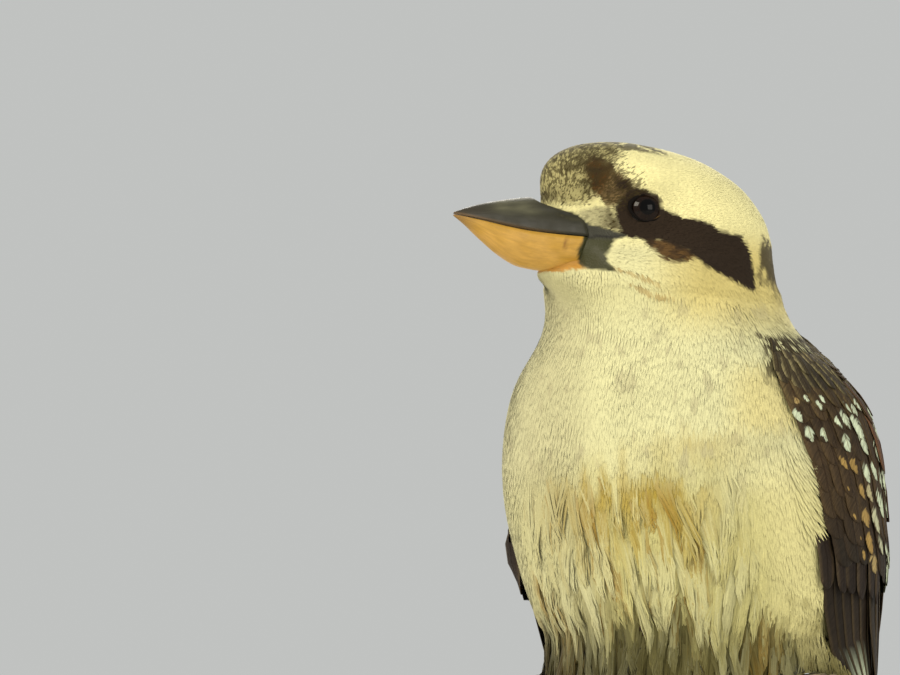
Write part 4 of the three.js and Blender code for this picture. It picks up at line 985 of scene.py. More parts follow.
# Wings
# Rows of the folded wing, from the lowest to the topmost. v runs from its front edge to its back edge,
# root and tip are heights, and the lifts stand out of the fold.
wingShape = {
    "core": {"heights": (26, 126), "width": 110.0, "length": 130.0, "colour": "#2C241E", "thick": 3.0},
    "buff": "#A88A4E", "pale": "#CFDABA", "stagger": 2.2,
    # count, v, heights of roots and tips, lifts of roots and tips, width, colour, rim, tuck, what else;
    # a pair runs from the row's front end to its back end
    "rows": {
        "primaries": (9, (0.05, 0.42), (48, 50), (-66, -40), (-2.8, -1.8), (-2.2, 0.4), 14,
            "#2B2218", "#5E5039", 0.9, dict(tipV=(0.12, 0.64), patch=True, outline="long")),
        "secondaries": (9, (0.3, 0.94), (48, 54), (-39, -14), (-1.6, -1.2), (1.6, 2.4), 17,
            "#2E2519", "#5E5039", 1.1, dict(tipV=(0.4, 0.92), outline="long")),
        "tertials": (4, (0.66, 0.9), (84, 92), (0, 22), (0.2, 0.6), (2.6, 3.2), 18,
            "#3A2E25", "#6B5A44", 1.0, dict(tipV=(0.64, 0.86), outline="long")),
        "primaryCoverts": (6, (0.04, 0.3), (66, 70), (30, 26), (-1.4, -1.2), (0.8, 1.6), 10,
            "#2A211A", "#5A4C38", 0.9, dict(rimShare=0.8)),
        "greaterLow": (13, (0.1, 0.76), (66, 64), (42, 24), (-0.6, 0.0), (1.8, 2.4), 13,
            "#2D251B", "#47392A", 0.9, dict(spot=(-0.3, 3.6, 2.5), spotV=(0.16, 0.24, 0.36))),
        "greaterMiddle": (13, (0.08, 0.78), (78, 72), (51, 33), (-0.2, 0.3), (2.2, 2.8), 12.5,
            "#34291C", "#4D3F2C", 0.9, dict(spot=(-0.3, 3.4, 2.4), spotV=(0.16, 0.24, 0.36))),
        "greaterHigh": (14, (0.07, 0.78), (88, 80), (60, 42), (0.1, 0.5), (2.6, 3.1), 12,
            "#3E3120", "#58472F", 0.9, dict(spot=(-0.3, 3.4, 2.5), spotV=(0.15, 0.22, 0.34))),
        "innerCoverts": (15, (0.07, 0.78), (97, 90), (70, 51), (0.4, 0.8), (2.9, 3.4), 11.5,
            "#3F3120", "#5A4930", 0.9, dict(spot=(-0.3, 3.2, 2.5), spotV=(0.15, 0.21, 0.32))),
        "innerHigh": (15, (0.06, 0.78), (104, 98), (79, 61), (0.7, 1.0), (3.2, 3.7), 11,
            "#403221", "#5A4930", 0.8, dict(spot=(-0.3, 3.0, 2.7), spotV=(0.12, 0.2, 0.27))),
        "medianLow": (16, (0.05, 0.78), (110, 106), (88, 71), (0.9, 1.0), (3.4, 3.9), 10,
            "#403221", "#574830", 0.8, dict(spot=(-0.3, 3.0, 2.7), spotV=(-0.2, -0.1, 0.0))),
        "medianHigh": (17, (0.04, 0.78), (116, 113), (97, 82), (1.1, 1.2), (3.6, 4.1), 9.5,
            "#433522", "#665537", 0.7, dict(spot=(-0.3, 3.2, 2.7), spotV=(-0.2, -0.1, 0.0))),
        "medianTop": (18, (0.04, 0.78), (120, 119), (104, 95), (1.3, 1.3), (3.7, 4.2), 8.5,
            "#463823", "#6E5F3C", 0.7, dict(spot=(-0.3, 2.8, 2.2), spotV=(0.02, 0.06, 0.1))),
        "lesserLow": (19, (0.04, 0.8), (124, 123), (110, 105), (1.2, 1.2), (3.7, 4.0), 7,
            "#3F3626", "#8C8158", 0.7, dict(rimShare=0.75)),
        "lesserMiddle": (20, (0.03, 0.82), (128, 127), (115, 112), (0.9, 0.9), (3.5, 3.8), 6.2,
            "#453C28", "#9A8F66", 0.7, dict(rimShare=0.8)),
        "lesserHigh": (22, (0.02, 0.86), (129, 129), (119, 117.5), (0.0, 0.0), (3.0, 3.4), 5.6,
            "#473D2A", "#9C916A", 0.6, dict(rimShare=0.8)),
        "shoulder": (24, (0.02, 0.92), (135.5, 135), (124.5, 123), (-3.4, -3.4), (2.2, 2.6), 5.4,
            "#423827", "#7F7453", 0.6, dict(rimShare=0.8)),
        "scapularLow": (4, (0.5, 0.9), (92, 96), (60, 66), (1.2, 1.4), (3.8, 4.4), 14,
            "#4A3425", "#6B4E36", 0.8, dict()),
        "scapularHigh": (5, (0.42, 0.92), (112, 112), (78, 84), (1.8, 2.0), (4.4, 5.0), 13,
            "#513826", "#755338", 0.8, dict()),
        "scapularTop": (6, (0.4, 0.94), (124, 122), (99, 103), (1.6, 1.6), (4.6, 5.0), 11,
            "#4C3929", "#6E563F", 0.7, dict()),
    },
}
rowParts = ("count", "v", "root", "tip", "rootLift", "tipLift", "width", "colour", "rim", "tuck")


# One row of the wing: its feathers stand at even steps from the row's front end to its back end, and each
# runs from its root to its tip over the fold, as wide as its outline says and tucked under the next
def foldGroup(side, row):
    count = row["count"]
    share = np.linspace(0, 1, count)
    outline = row.get("outline", "round")
    stations, shape = np.array(vaneOutlines[outline]).T
    columns = 7 if outline == "long" else 5
    across = np.linspace(-1, 1, columns)
    pick = lambda pair: blend(pair[0], pair[1], share)[:, None, None]
    shaky = lambda amount: dice.uniform(-amount, amount, (count, 1, 1))
    t = stations[None, :, None]
    z = blend(pick(row["root"]), pick(row["tip"]) + shaky(wingShape["stagger"]), t) + 0 * across
    v = blend(pick(row["v"]), pick(row.get("tipV", row["v"])), t) + shaky(0.011) + shaky(0.008) * t
    y, half, back, front, rear = foldEdges(side, z)
    perV = half * np.radians(rear - front)
    v = np.clip(v + across * row["width"] / 2 * (1 + shaky(0.12)) * shape[:, None] / perV, 0.0, 0.99)
    rise = blend(pick(row["rootLift"]), pick(row["tipLift"]) + shaky(0.2), ease(0, 0.6, t))
    if side < 0:  # sunk where the breast covers it, and turned outwards below that
        rise = rise - 5 * ease(0.2, 0.02, v) * ease(54, 64, z) * ease(128, 116, z)
        turned = ease(0.2, 0.04, v) * ease(20, 36, z) * ease(72, 56, z) * (1 - 0.9 * ease(0.55, 1, t))
        rise = rise + (1.4 + 4.5 * across) * turned
    lift = rise + 0.5 * (1 - across**2) - row["tuck"] * (across + 1) / 2
    top = foldPoint(side, z, v, lift)
    out = unit(foldPoint(side, z, v, lift + 1.0) - top)
    shaft = top[:, :, columns // 2]
    length = np.linalg.norm(shaft[:, -1] - shaft[:, 0], axis=-1)
    width = np.full(count, float(row["width"]))
    group = vaneGroup(top, out, stations, width, length, row, v[:, -2].mean(axis=-1))
    if row.get("patch"):  # white patch at the foot of the primaries: streaks on the front web of each
        start = 5 + shaky(9)
        white = ease(start + 3, start - 3, z) * ease(-36, -24, z) * (np.abs(across + 0.45) < 0.5)
        white = white * ease(0.08, 0.12, v) * ease(0.29, 0.24, v)
        group["colour"] = dyed(group["colour"], hexColour(wingShape["pale"]), 0.85 * white)
    return group


# The wing's arm: a slab between two lifts of the fold, closed at its rim
def wingCore(side):
    core = wingShape["core"]
    lowest, highest = core["heights"]
    z = np.linspace(lowest, highest, 26)[:, None]
    v = np.linspace(0.015, 0.985, 22)[None]
    edge = np.minimum(np.minimum(v, 1 - v) * 9, np.minimum(z - lowest, highest - z) / 12)
    bulge = 2.0 * ease(66, 96, z) - 1.0 * ease(112, 128, z)
    if side < 0:
        bulge = bulge - 5 * ease(0.2, 0.02, v) * ease(54, 64, z)
    top = foldPoint(side, z, v, bulge * ease(0, 1, edge) - 0.6 - 2.8 * ease(60, 42, z))[None]
    out = unit(foldPoint(side, z, v, 2.0) - foldPoint(side, z, v, 0.0))[None]
    width, length = np.array([core["width"]]), np.array([core["length"]])
    return vaneGroup(top, out, np.linspace(0, 1, 26), width, length, core)


def makeWing(side, name):
    groups = [wingCore(side)]
    for *values, rest in wingShape["rows"].values():
        groups.append(foldGroup(side, dict(zip(rowParts, values), **rest)))
    wing = vaneMesh(f"feathers_wing_{name}", groups)
    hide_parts(f"wing_{name}")


makeWing(1, "left")
makeWing(-1, "right")
print("wings made")


# Tail
tailShape = {
    "y": 50, "z": 14, "lean": 13.5, "length": 152, "pairs": 6, "width": 17, "layer": 1.3,
    "rootSpread": 1.3, "tipSpread": 3.4, "start": 14.0, "covertStart": 8.0, "covertWidth": 13,
    "feather": dict(colour="#7E5433", rim="#8A6038", tipColour="#E6DFC6", bar=(15.5, 0.95), thick=0.4),
    # coverts of root and underside: reach, spread, how far out, drop, colours
    "coverts": [
        dict(reach=64, spread=9, out=6.4, drop=1.2, colour="#6A4A30", rim="#7A5A3C", bar=(8, 0.9)),
        dict(reach=46, spread=8, out=8.2, drop=1.2, colour="#6A4A30", rim="#7A5A3C", bar=(8, 0.9)),
        dict(reach=52, spread=8, out=-6.4, drop=-1.2, colour="#CFC497", rim="#DDD4AE", bar=(9, 0.25)),
    ],
}


def tailPoint(along, across, out):  # along the tail from its root, across it, and out from its back
    lean = math.radians(tailShape["lean"])
    return np.stack(np.broadcast_arrays(
        across, tailShape["y"] + along * math.sin(lean) + out * math.cos(lean),
        tailShape["z"] - along * math.cos(lean) + out * math.sin(lean)), axis=-1)


# Feathers along the tail: start and length along it, root and tip across it, and how far out they lie
def tailVanes(start, length, root, tip, width, out, row):
    stations, shape = np.array(vaneOutlines["long"]).T
    wide = (np.asarray(value, float)[:, None, None] for value in (start, length, root, tip, out))
    start, length, root, tip, out = wide
    across = np.linspace(-1, 1, 9)
    t = stations[None, :, None]
    along = blend(start, length, t) + 0 * across
    x = blend(root, tip, t) + across * width / 2 * shape[None, :, None]
    level = out - np.abs(x) * 0.07 + 0.25 * (1 - across**2)
    top = tailPoint(along, x, level)
    outward = unit(tailPoint(along, x, level + 1) - top)
    size = length[:, 0, 0] - start[:, 0, 0]
    return vaneGroup(top, outward, stations, np.full(len(size), float(width)), size, row)


# Pairs of tail feathers, each pair under the one before and further aside, and three rows of coverts
def makeTail(shape):
    pair = np.repeat(np.arange(shape["pairs"]), 2)
    side = np.tile([1, -1], shape["pairs"])
    out = 4.2 - shape["layer"] * (pair + np.where(side < 0, 0.5, 0))
    length = shape["length"] - pair * 2.2 - np.where(pair == shape["pairs"] - 1, 4, 0)
    start = np.full(len(pair), shape["start"])
    groups = [tailVanes(start, length, side * (0.8 + pair * shape["rootSpread"]),
                        side * (2.6 + pair * shape["tipSpread"]), shape["width"], out, shape["feather"])]
    k = np.array([-1, -0.5, 0.5, 1, 0])
    start = np.full(len(k), shape["covertStart"])
    for row in shape["coverts"]:
        groups.append(tailVanes(start, row["reach"] - np.abs(k) * 8, k * row["spread"],
                                k * row["spread"] * 1.3, shape["covertWidth"],
                                row["out"] - np.abs(k) * row["drop"], row))
    tail = vaneMesh("feathers_tail", groups)
    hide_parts("tail")


makeTail(tailShape)
print("tail made")


# Mantle and rump
mantleShape = {
    "count": 760, "from": 2.4, "to": 9.8, "length": 14.0, "width": 10.0, "rise": 1.6,
    "mantle": dict(colour="#3F3328", rim="#6A5A45", rimShare=0.5, thick=0.35),
    "rump": dict(colour="#5E422B", rim="#7C5C3C", rimShare=0.5, thick=0.35, bar=(7, 0.85)),
    "rumpTop": 52,
}


# Overlapping back feathers: each vane is bent along and across to lie on the body under it
def makeMantle(shape):
    def density(s, phi, p):
        x, y, z = np.moveaxis(p, -1, 0)
        onBack = (z < collarHeight(y, np.abs(x)) - 1) * (z > 20) * (y > blend(22, -14, ease(60, 110, z)))
        return onBack * (insideFold(p) < 5) / (1 + 0.6 * ease(100, 130, z))

    s, phi = spreadRoots(shape["count"], shape["from"], shape["to"], density)
    normal = bodyNormal(s, phi)
    surface = bodyPoint(s, phi)
    flow = featherFlow(surface, normal)
    side = unit(np.cross(flow, normal))
    bendAlong = surfaceBend(s, phi, normal, flow)
    bendAcross = surfaceBend(s, phi, normal, side)
    size = blend(0.62, 1, ease(132, 100, surface[:, 2])) * dice.uniform(0.88, 1.12, s.size)
    stations, outline = np.array(vaneOutlines["round"]).T
    across = np.linspace(-1, 1, 5)
    t = stations[None, :, None]
    wide = lambda values: values[:, None, None]
    run = shape["length"] * wide(size) * t
    aside = shape["width"] / 2 * wide(size) * outline[None, :, None] * across
    lift = blend(-2.2, shape["rise"], t**0.7) + 0.35 * (1 - across**2) + wide(dice.uniform(-0.2, 0.2, s.size))
    lift = lift - (wide(bendAlong) * run**2 + wide(bendAcross) * aside**2) / 2
    inPlane = wide(surface) + wide(flow) * run[..., None] + wide(side) * aside[..., None]
    top = inPlane + wide(normal) * lift[..., None]
    out = np.broadcast_to(wide(normal), top.shape)
    rump = surface[:, 2] < shape["rumpTop"]
    groups = [vaneGroup(top[chosen], out[chosen], stations, shape["width"] * size[chosen],
                        shape["length"] * size[chosen], row)
              for chosen, row in ((~rump, shape["mantle"]), (rump, shape["rump"]))]
    vaneMesh("feathers_back", groups)


makeMantle(mantleShape)
print("back feathers made")


# Belly strands
bellyShape = {
    "strands": 15500, "clumps": 270,
    "top": 84, "reach": 88,  # highest root, and degrees to each side of the front
    "length": (22, 38), "width": 1.2, "standOff": (0.2, 3.4),
    "ochre": "#9C7A30", "white": "#D6D4A6", "oliveShade": "#38340F",
    # the bird's left flank stays smooth: height, and the angle where the locks end
    "flank": [[0, 90], [12, 66], [27, 50], [50, 38], [90, 36]],
    "rightFlank": [[0, -90], [20, -70], [40, -52], [90, -44]],
}


def branchBow(x):  # the branch bends down a little towards its ends
    return 2.4 * ease(36, 52, np.abs(x))


# Height of the lowest point a strand may hang to: it stays clear of the branch's round top
def strandFloor(x, y):
    branch = -20 + np.sqrt(np.maximum(400 - (y + 6) ** 2, 0)) + 0.5 - branchBow(x)
    return np.where(np.abs(y + 6) < 20, np.maximum(branch, -7), -7)


# Wet belly feathers: long strands hang down the body's surface and draw together into pointed locks.
# Each strand follows the surface at its falling height, sways once and bends towards its lock's tip.
def makeBelly(shape):
    reach = math.radians(shape["reach"])
    levels = np.linspace(0, 8, 1601)
    heights = bodyCurve(levels)[:, 0]
    stationAt = lambda z: np.interp(z, heights, levels)
    tint = coloursOf(shape)

    def scatterOver(count, twist):  # even spread over height and angle
        number = np.arange(count)
        z = blend(6, shape["top"], ((number + 0.5) / count) ** 1.15) + dice.uniform(-2, 2, count)
        phi = (((number * goldenTurn + twist) % 1) * 2 - 1) * reach + dice.uniform(-0.02, 0.02, count)
        return z, phi

    clumpZ, clumpPhi = scatterOver(shape["clumps"], 0.3)
    clumpLength = dice.uniform(*shape["length"], shape["clumps"])
    clumpTipZ = clumpZ - clumpLength
    clumpTipPhi = clumpPhi + dice.normal(0, 0.06, shape["clumps"])
    clumpLift = dice.uniform(*shape["standOff"], shape["clumps"])
    clumpPull = dice.uniform(0.75, 1.0, shape["clumps"])
    clumpWave = dice.normal(0, 0.011, shape["clumps"])

    z, phi = scatterOver(shape["strands"], 0.0)
    degrees = np.degrees(phi)
    onLine = lambda values: np.stack([values, 0 * values, 0 * values], axis=-1)
    flank = tableAt(z, shape["flank"]) + 5 * noise(onLine(z), 9, 91)
    rightFlank = tableAt(z, shape["rightFlank"])
    lockShare = ease(flank + 3, flank - 9, degrees) * ease(rightFlank - 3, rightFlank + 9, degrees)
    apart = ((z[:, None] - clumpZ) / 10) ** 2 + ((phi[:, None] - clumpPhi) * 62 / 3.8) ** 2
    own = np.argmin(apart, axis=1)
    outer = ease(0.25, 1.0, np.sqrt(apart[np.arange(z.size), own]))  # 0 on a lock's middle, 1 at its edge
    tipZ = clumpTipZ[own] + dice.uniform(-1.5, 8, z.size)
    tipZ = np.minimum(tipZ, z - 9)
    tipZ = blend(z - dice.uniform(11, 17, z.size), tipZ, lockShare)
    stations = np.array([0, 0.25, 0.5, 0.76, 1.0])
    t = stations[None]
    fall = z[:, None] + (tipZ - z)[:, None] * t
    draw = clumpPull[own] * dice.uniform(0.7, 1.1, z.size) * lockShare * ease(6, 24, z - tipZ)
    sway = (clumpWave[own] * lockShare + dice.normal(0, 0.009, z.size))[:, None] * np.sin(t * 2 * np.pi)
    most = 0.22 * (z - tipZ) / 62  # no strand slants more than this, radians
    swing = phi[:, None] + np.clip((clumpTipPhi[own] - phi) * draw, -most, most)[:, None] * t**1.3 + sway
    level = stationAt(np.maximum(fall, 14.0))
    surface = bodyPoint(level, swing)
    normal = bodyNormal(level, swing)
    depth = skinDepth(level, surface)
    standOff = (clumpLift[own] * (1 - 0.8 * outer) * lockShare)[:, None] * blend(0.3, 1, t)
    lift = -depth - 0.4 + (depth + 0.7 + standOff) * t**0.7
    lift = lift - 1.4 * ease(0.8, 1, t)  # tips settle back
    fluffed = ease(34, 12, z) * ease(44, 66, np.abs(degrees))  # the flanks, low down
    lift = lift + 3 * t * fluffed[:, None]
    path = surface + normal * lift[..., None]
    path[..., 2] = np.where(fall < 14, np.minimum(path[..., 2], fall), path[..., 2])
    floor = strandFloor(path[..., 0], path[..., 1]) + 0.3 * np.arange(5)[::-1]
    path[..., 2] = np.maximum(path[..., 2], floor)
    forward = unit(np.gradient(path, axis=1))
    side = unit(np.cross(forward, normal))[:, :4]
    width = shape["width"] * dice.uniform(0.7, 1.3, z.size)
    half = width[:, None] / 2 * np.array([0.9, 1.0, 0.8, 0.5])
    height = width[:, None] * 0.22 * np.array([0.8, 1.0, 0.8, 0.6])

    # warm and pale streaks run down the belly, stretched along the strands; the ochre gathers at the edges of
    # the locks, partly as painted shade between them, and the pale at their middles
    place = path[:, 2] * [1, 1, 0.3]
    warm = ease(0.0, 0.9, noise(place, 9, 92) + 0.2 * dice.normal(0, 1, z.size) + 0.9 * outer - 0.25)
    white = ease(0.0, 0.7, noise(place, 6, 93) + 0.2 * dice.normal(0, 1, z.size) + 0.4 - 0.6 * outer)
    base = plumageColour(path[:, 1])
    base = dyed(base, tint["ochre"], 0.7 * warm * lockShare)
    base = dyed(base, tint["white"], 0.45 * white * lockShare * (1 - warm) * ease(84, 62, z))
    # low down only the middle of a lock is pale, and painted shade in dark olive fills the gaps between the
    # locks
    between = ease(0.3, 0.65, outer) * ease(50, 20, z + 6 * noise(place, 10, 95)) * lockShare
    base = dyed(base, tint["oliveShade"], 0.8 * between)
    # painted shade: locks rooted low are dark olive, more so on the bird's right
    shadeLow = ease(42, 22, z + 12 * noise(place, 9, 97)) * lockShare
    base = dyed(base, tint["oliveShade"], shadeLow * blend(0.7, 0.3, ease(0, 36, place[:, 0])))
    base = base * dice.normal(1, 0.05, z.size)[:, None]
    # painted shade: each strand darker towards its root, most of all low down and within the locks
    rootShade = np.array([0.8, 0.5, 0.22, 0.05, 0.0])
    shadeInGaps = blend(0.12, 0.9, ease(50, 20, z)) * blend(0.12, 1, lockShare)
    # each strand takes the coat's own colour at its root
    base = dyed(plumageColour(path[:, 0])[:, None], base[:, None], np.array([0.2, 0.7, 1, 1, 1]))
    colours = dyed(base, tint["oliveShade"], rootShade * shadeInGaps[:, None])
    unwrap = np.column_stack([(phi / (2 * np.pi)) % 1, stationAt(np.maximum(z, 5)) / bodyShape["crown"]])
    mayCover = np.where(path[:, 3, 0] < 0, 1, 4)
    started = dice.random(z.size) < ease(84, 62, z + 8 * noise(onLine(62 * phi), 12, 94))
    low = z < 30 + 9 * noise(place, 8, 96)
    keep = (insideFold(path[:, 3]) < mayCover) & ((lockShare > 0.1) | low) & started
    tuftMesh("belly_locks", path[keep], side[keep], unit(normal[keep][:, :4]), half[keep], height[keep],
             colours[keep], unwrap[keep], softBarbs, softness=0.7)


makeBelly(bellyShape)
print("belly made")


# Bill
billShape = {
    # forward, culmen, mouth, keel, half width
    "rows": [
        [8.5, 13.2, -0.9, -10.5, 20.5], [22, 14.2, -2.2, -14.6, 15.6], [34, 13.0, -2.7, -16.9, 12.0],
        [44, 11.3, -2.8, -16.7, 9.4], [54, 8.9, -2.3, -13.6, 7.0], [64, 5.9, -1.2, -8.0, 4.4],
        [71, 3.2, -0.5, -3.6, 2.4], [76.2, 0.7, -0.1, -0.9, 0.5],
    ],
    "gap": 0.15,  # between the mouth's line and each half
    "slate": "#312F23", "slateHighlight": "#6B6951", "slateTip": "#3A3428", "nostril": "#0C0A08",
    "horn": "#BE9238", "hornLight": "#D4A658", "hornTip": "#80623C", "blotch": "#38381C", "crack": "#6E4018",
}
billCurve = columnCurve(billShape["rows"])


# Keratin sheath, worn and satin: growth streaks run along it and fine scratches dull it
def hornMaterial(name):
    horn = newMaterial(name)
    paint = addNode(horn, "Attribute", attribute_name="plumage")
    along = addNode(horn, "UVMap", uv_map="lengthwise")  # millimetres along and around
    stretched = addNode(horn, "Mapping", {"Vector": along, "Scale": (0.12, 1.0, 1.0)})
    streaks = addNode(horn, "TexNoise", {"Vector": stretched, "Scale": 1.3, "Detail": 6.0, "Roughness": 0.65})
    cloudy = addNode(horn, "TexNoise", {"Vector": along, "Scale": 0.22, "Detail": 4.0})
    shade = addNode(horn, "MapRange", {
        "Value": streaks, "From Min": 0.3, "From Max": 0.7, "To Min": 0.84, "To Max": 1.14})
    streaked = addNode(horn, "VectorMath", {0: paint, "Scale": shade}, operation="SCALE")
    rough = addNode(horn, "MapRange", {
        "Value": cloudy, "From Min": 0.3, "From Max": 0.7, "To Min": 0.34, "To Max": 0.56})
    bump = addNode(horn, "Bump", {"Height": streaks, "Strength": 0.35, "Distance": 0.0004})
    addNode(horn, "Principled BSDF", {
        "Base Color": streaked, "Roughness": rough, "Specular IOR Level": 0.32, "Normal": bump})
    return horn


# Mandible: half-oval sections carried along the bill, flat at the mouth. The upper one has a groove from
# the nostril forward, the lower one a soft keel.
def makeMandible(name, upper, node):
    shape, tint = billShape, coloursOf(billShape)
    root, tip = shape["rows"][0][0], shape["rows"][-1][0]
    f = np.concatenate([np.linspace(root, 66, 64), np.linspace(66.6, tip, 22)])[:, None]
    culmen, mouth, keel, half = np.moveaxis(billCurve(f), -1, 0)
    turn = np.concatenate([np.linspace(0, np.pi, 41), np.linspace(np.pi, 2 * np.pi, 18)[1:-1]])[None]
    arch = turn <= np.pi
    height = (culmen - mouth if upper else mouth - keel) - shape["gap"]
    rise = height * np.where(arch, np.sin(np.minimum(turn, np.pi)), 0) ** (0.95 if upper else 0.8)
    hollow = np.where(arch, 0, 0.8 * np.minimum(1, half / 6) * np.sin(turn - np.pi))
    base = mouth + (shape["gap"] if upper else -shape["gap"])
    u = base + (rise + hollow if upper else -rise - hollow)
    f, l, u = np.broadcast_arrays(f, half * np.cos(turn), u)
    if upper:
        l = np.where(arch, l * (1 - 0.1 * np.sin(turn) ** 2 * ease(70, 40, f)), l)
        groove = np.exp(-((u - blend(6.6, 4.8, ease(26, 52, f))) / 1.3) ** 2)
        groove = groove * ease(54, 36, f) * ease(22, 28, f)
        slit = np.exp(-(((f - 30.5) / 3.8) ** 2 + ((u - 5.3 - 0.12 * (f - 30)) / 1.1) ** 2) ** 1.5)
        l = l - np.sign(l) * (0.75 * groove + 1.5 * slit) * arch
        place = np.stack([f, l, u], axis=-1)
        # painted highlight: the top of the upper bill is paler along its middle, broken up by noise
        lit = 0.9 * ease(0, 7, u) * ease(70, 58, f) * ease(34, 50, f)
        lit = lit * (0.6 + 0.5 * noise(place * [0.35, 1, 1], 2.2, 41))
        colour = dyed(tint["slate"], tint["slateHighlight"], lit)
        colour = dyed(colour, tint["slateTip"], ease(56, 74, f))
        colour = dyed(colour, tint["hornTip"], 0.5 * ease(1.4, 0.2, u - base) * ease(30, 44, f))
        # painted shade: the nostril's slit is near black inside
        colour = dyed(colour, tint["nostril"], ease(0.2, 0.6, slit * arch))
    else:
        place = np.stack([f, l, u], axis=-1)
        pale = ease(0.3, 0.9, 0.5 + 0.5 * noise(place * [0.4, 1, 1], 3.0, 42) + 0.3 * ease(-6, -14, u))
        colour = dyed(tint["horn"], tint["hornLight"], 0.55 * pale)
        colour = dyed(colour, tint["hornTip"], 0.75 * ease(64, 76, f))
        colour = dyed(colour, tint["blotch"], blotchShare(f, u))
        crack = np.exp(-((f - 31.8 - 0.15 * (u + 6) - 0.6 * noise(place, 2, 45)) / 0.6) ** 2)
        colour = dyed(colour, tint["crack"], 0.7 * crack * ease(-9.5, -7.5, u) * ease(-3, -4.5, u) * (l > 0))
    # feathers and skin cover the horn behind its outline, so it draws in there
    behind = outlineDistance(f, u, plumage["hornOutline"])
    covered = ease(-2.2, 3.4, behind) * ease(44, 40, f)
    if upper:
        colour = dyed(colour, plumage["billSlate"], 0.8 * ease(-5, -1, behind) * ease(44, 40, f))
    l = l * (1 - 0.24 * covered)
    u = u - covered * 3.5 * ease(4, 12, u) + covered * 3.0 * ease(-10, -15, u)
    points, faces = closedRings(inHead(f, l, u))
    if upper:  # seen from the tip, its rings run the other way round
        faces = [face[:, ::-1] for face in faces]
    colour = np.vstack([colour.reshape(-1, 3), colour[0, :1], colour[-1, :1]])
    lengthwise = np.column_stack([f.ravel(), (turn * 6 + 0 * f).ravel()])
    lengthwise = np.vstack([lengthwise, [[root, 0], [tip, 0]]])
    horn = hornMaterial(f"bill keratin, {'dark' if upper else 'pale'}, worn satin")
    bill = addMesh(name, toPart(points), faces, horn, {"plumage": colour}, {"lengthwise": lengthwise})
    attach(bill, "root")
    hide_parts(node)


makeMandible("bill_upper_horn", True, "bill_upper")
makeMandible("bill_lower_horn", False, "bill_lower")
print("bill made")


# Eyes and lids
eyeShape = {
    "radius": 8.2, "proud": 2.0, "look": (0.35, 0.93, 0.08),
    "pupil": "#040303", "iris": "#1A100A", "rim": "#0B0806",
    "lidRadius": 5.8, "lidThick": 0.8, "lid": "#0F0B08", "lidEdge": "#8A6A3C",
}


# The place on the head's side at a given forward and up: the nearest point of a fine grid over it
def headSide(f, u, side):
    s, phi = np.meshgrid(np.linspace(10.2, 20, 400), side * np.linspace(0.5, 2.6, 400), indexing="ij")
    p = bodyPoint(s, phi).reshape(-1, 3)
    pf, _, pu = headCoords(p)
    return p[np.argmin((pf - f) ** 2 + (pu - u) ** 2)]


def eyeFrame(side):  # place of the eye, its line of sight, and the axes across it
    f, l, u = eyeShape["look"]
    look = unit(headForward * f + headLeft * l * side + headUp * u)
    across = unit(np.cross(headUp, look))
    return headSide(*bodyShape["eye"], side), look, across, np.cross(look, across)


# Eyeball: a globe about the line of sight with a low corneal bulge at its pole
def makeEye(side, name):
    surface, look, across, upward = eyeFrame(side)
    tint = coloursOf(eyeShape)
    radius = eyeShape["radius"]
    centre = surface + look * (eyeShape["proud"] - radius)
    polar, turn = np.meshgrid(np.linspace(0.02, np.pi - 0.02, 56), fullTurn(64), indexing="ij")
    swell = radius * (1 + 0.035 * np.exp(-(polar / 0.55) ** 2))
    points, faces = closedRings(centre + swell[..., None] * onRing(polar, look, onRing(turn, across, upward)))
    fibres = noise(np.stack([np.cos(turn) * 9, np.sin(turn) * 9, polar * 2], axis=-1), 1.0, 51)
    iris = ease(0.36, 0.42, polar) * ease(0.86, 0.7, polar)
    colour = dyed(tint["pupil"], tint["iris"] * (1 + 0.4 * fibres)[..., None], iris)
    colour = dyed(colour, tint["rim"], ease(0.74, 0.86, polar))
    colour = np.vstack([colour.reshape(-1, 3), colour[0, :1], colour[-1, :1]])
    # Wet cornea over a dark brown iris: a clear sharp gloss
    cornea = paintedFinish(f"eye {name}, wet cornea", {"Roughness": 0.1, "Specular IOR Level": 0.14},
                           "TexNoise", {"Scale": 2400.0}, shade=(0.8, 1.2))
    faces = turnedOut(points, faces, centre)
    eye = addMesh(f"eyeball_{name}", toPart(points), faces, cornea, {"plumage": colour})
    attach(eye, "root")
    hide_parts(f"eye_{name}")


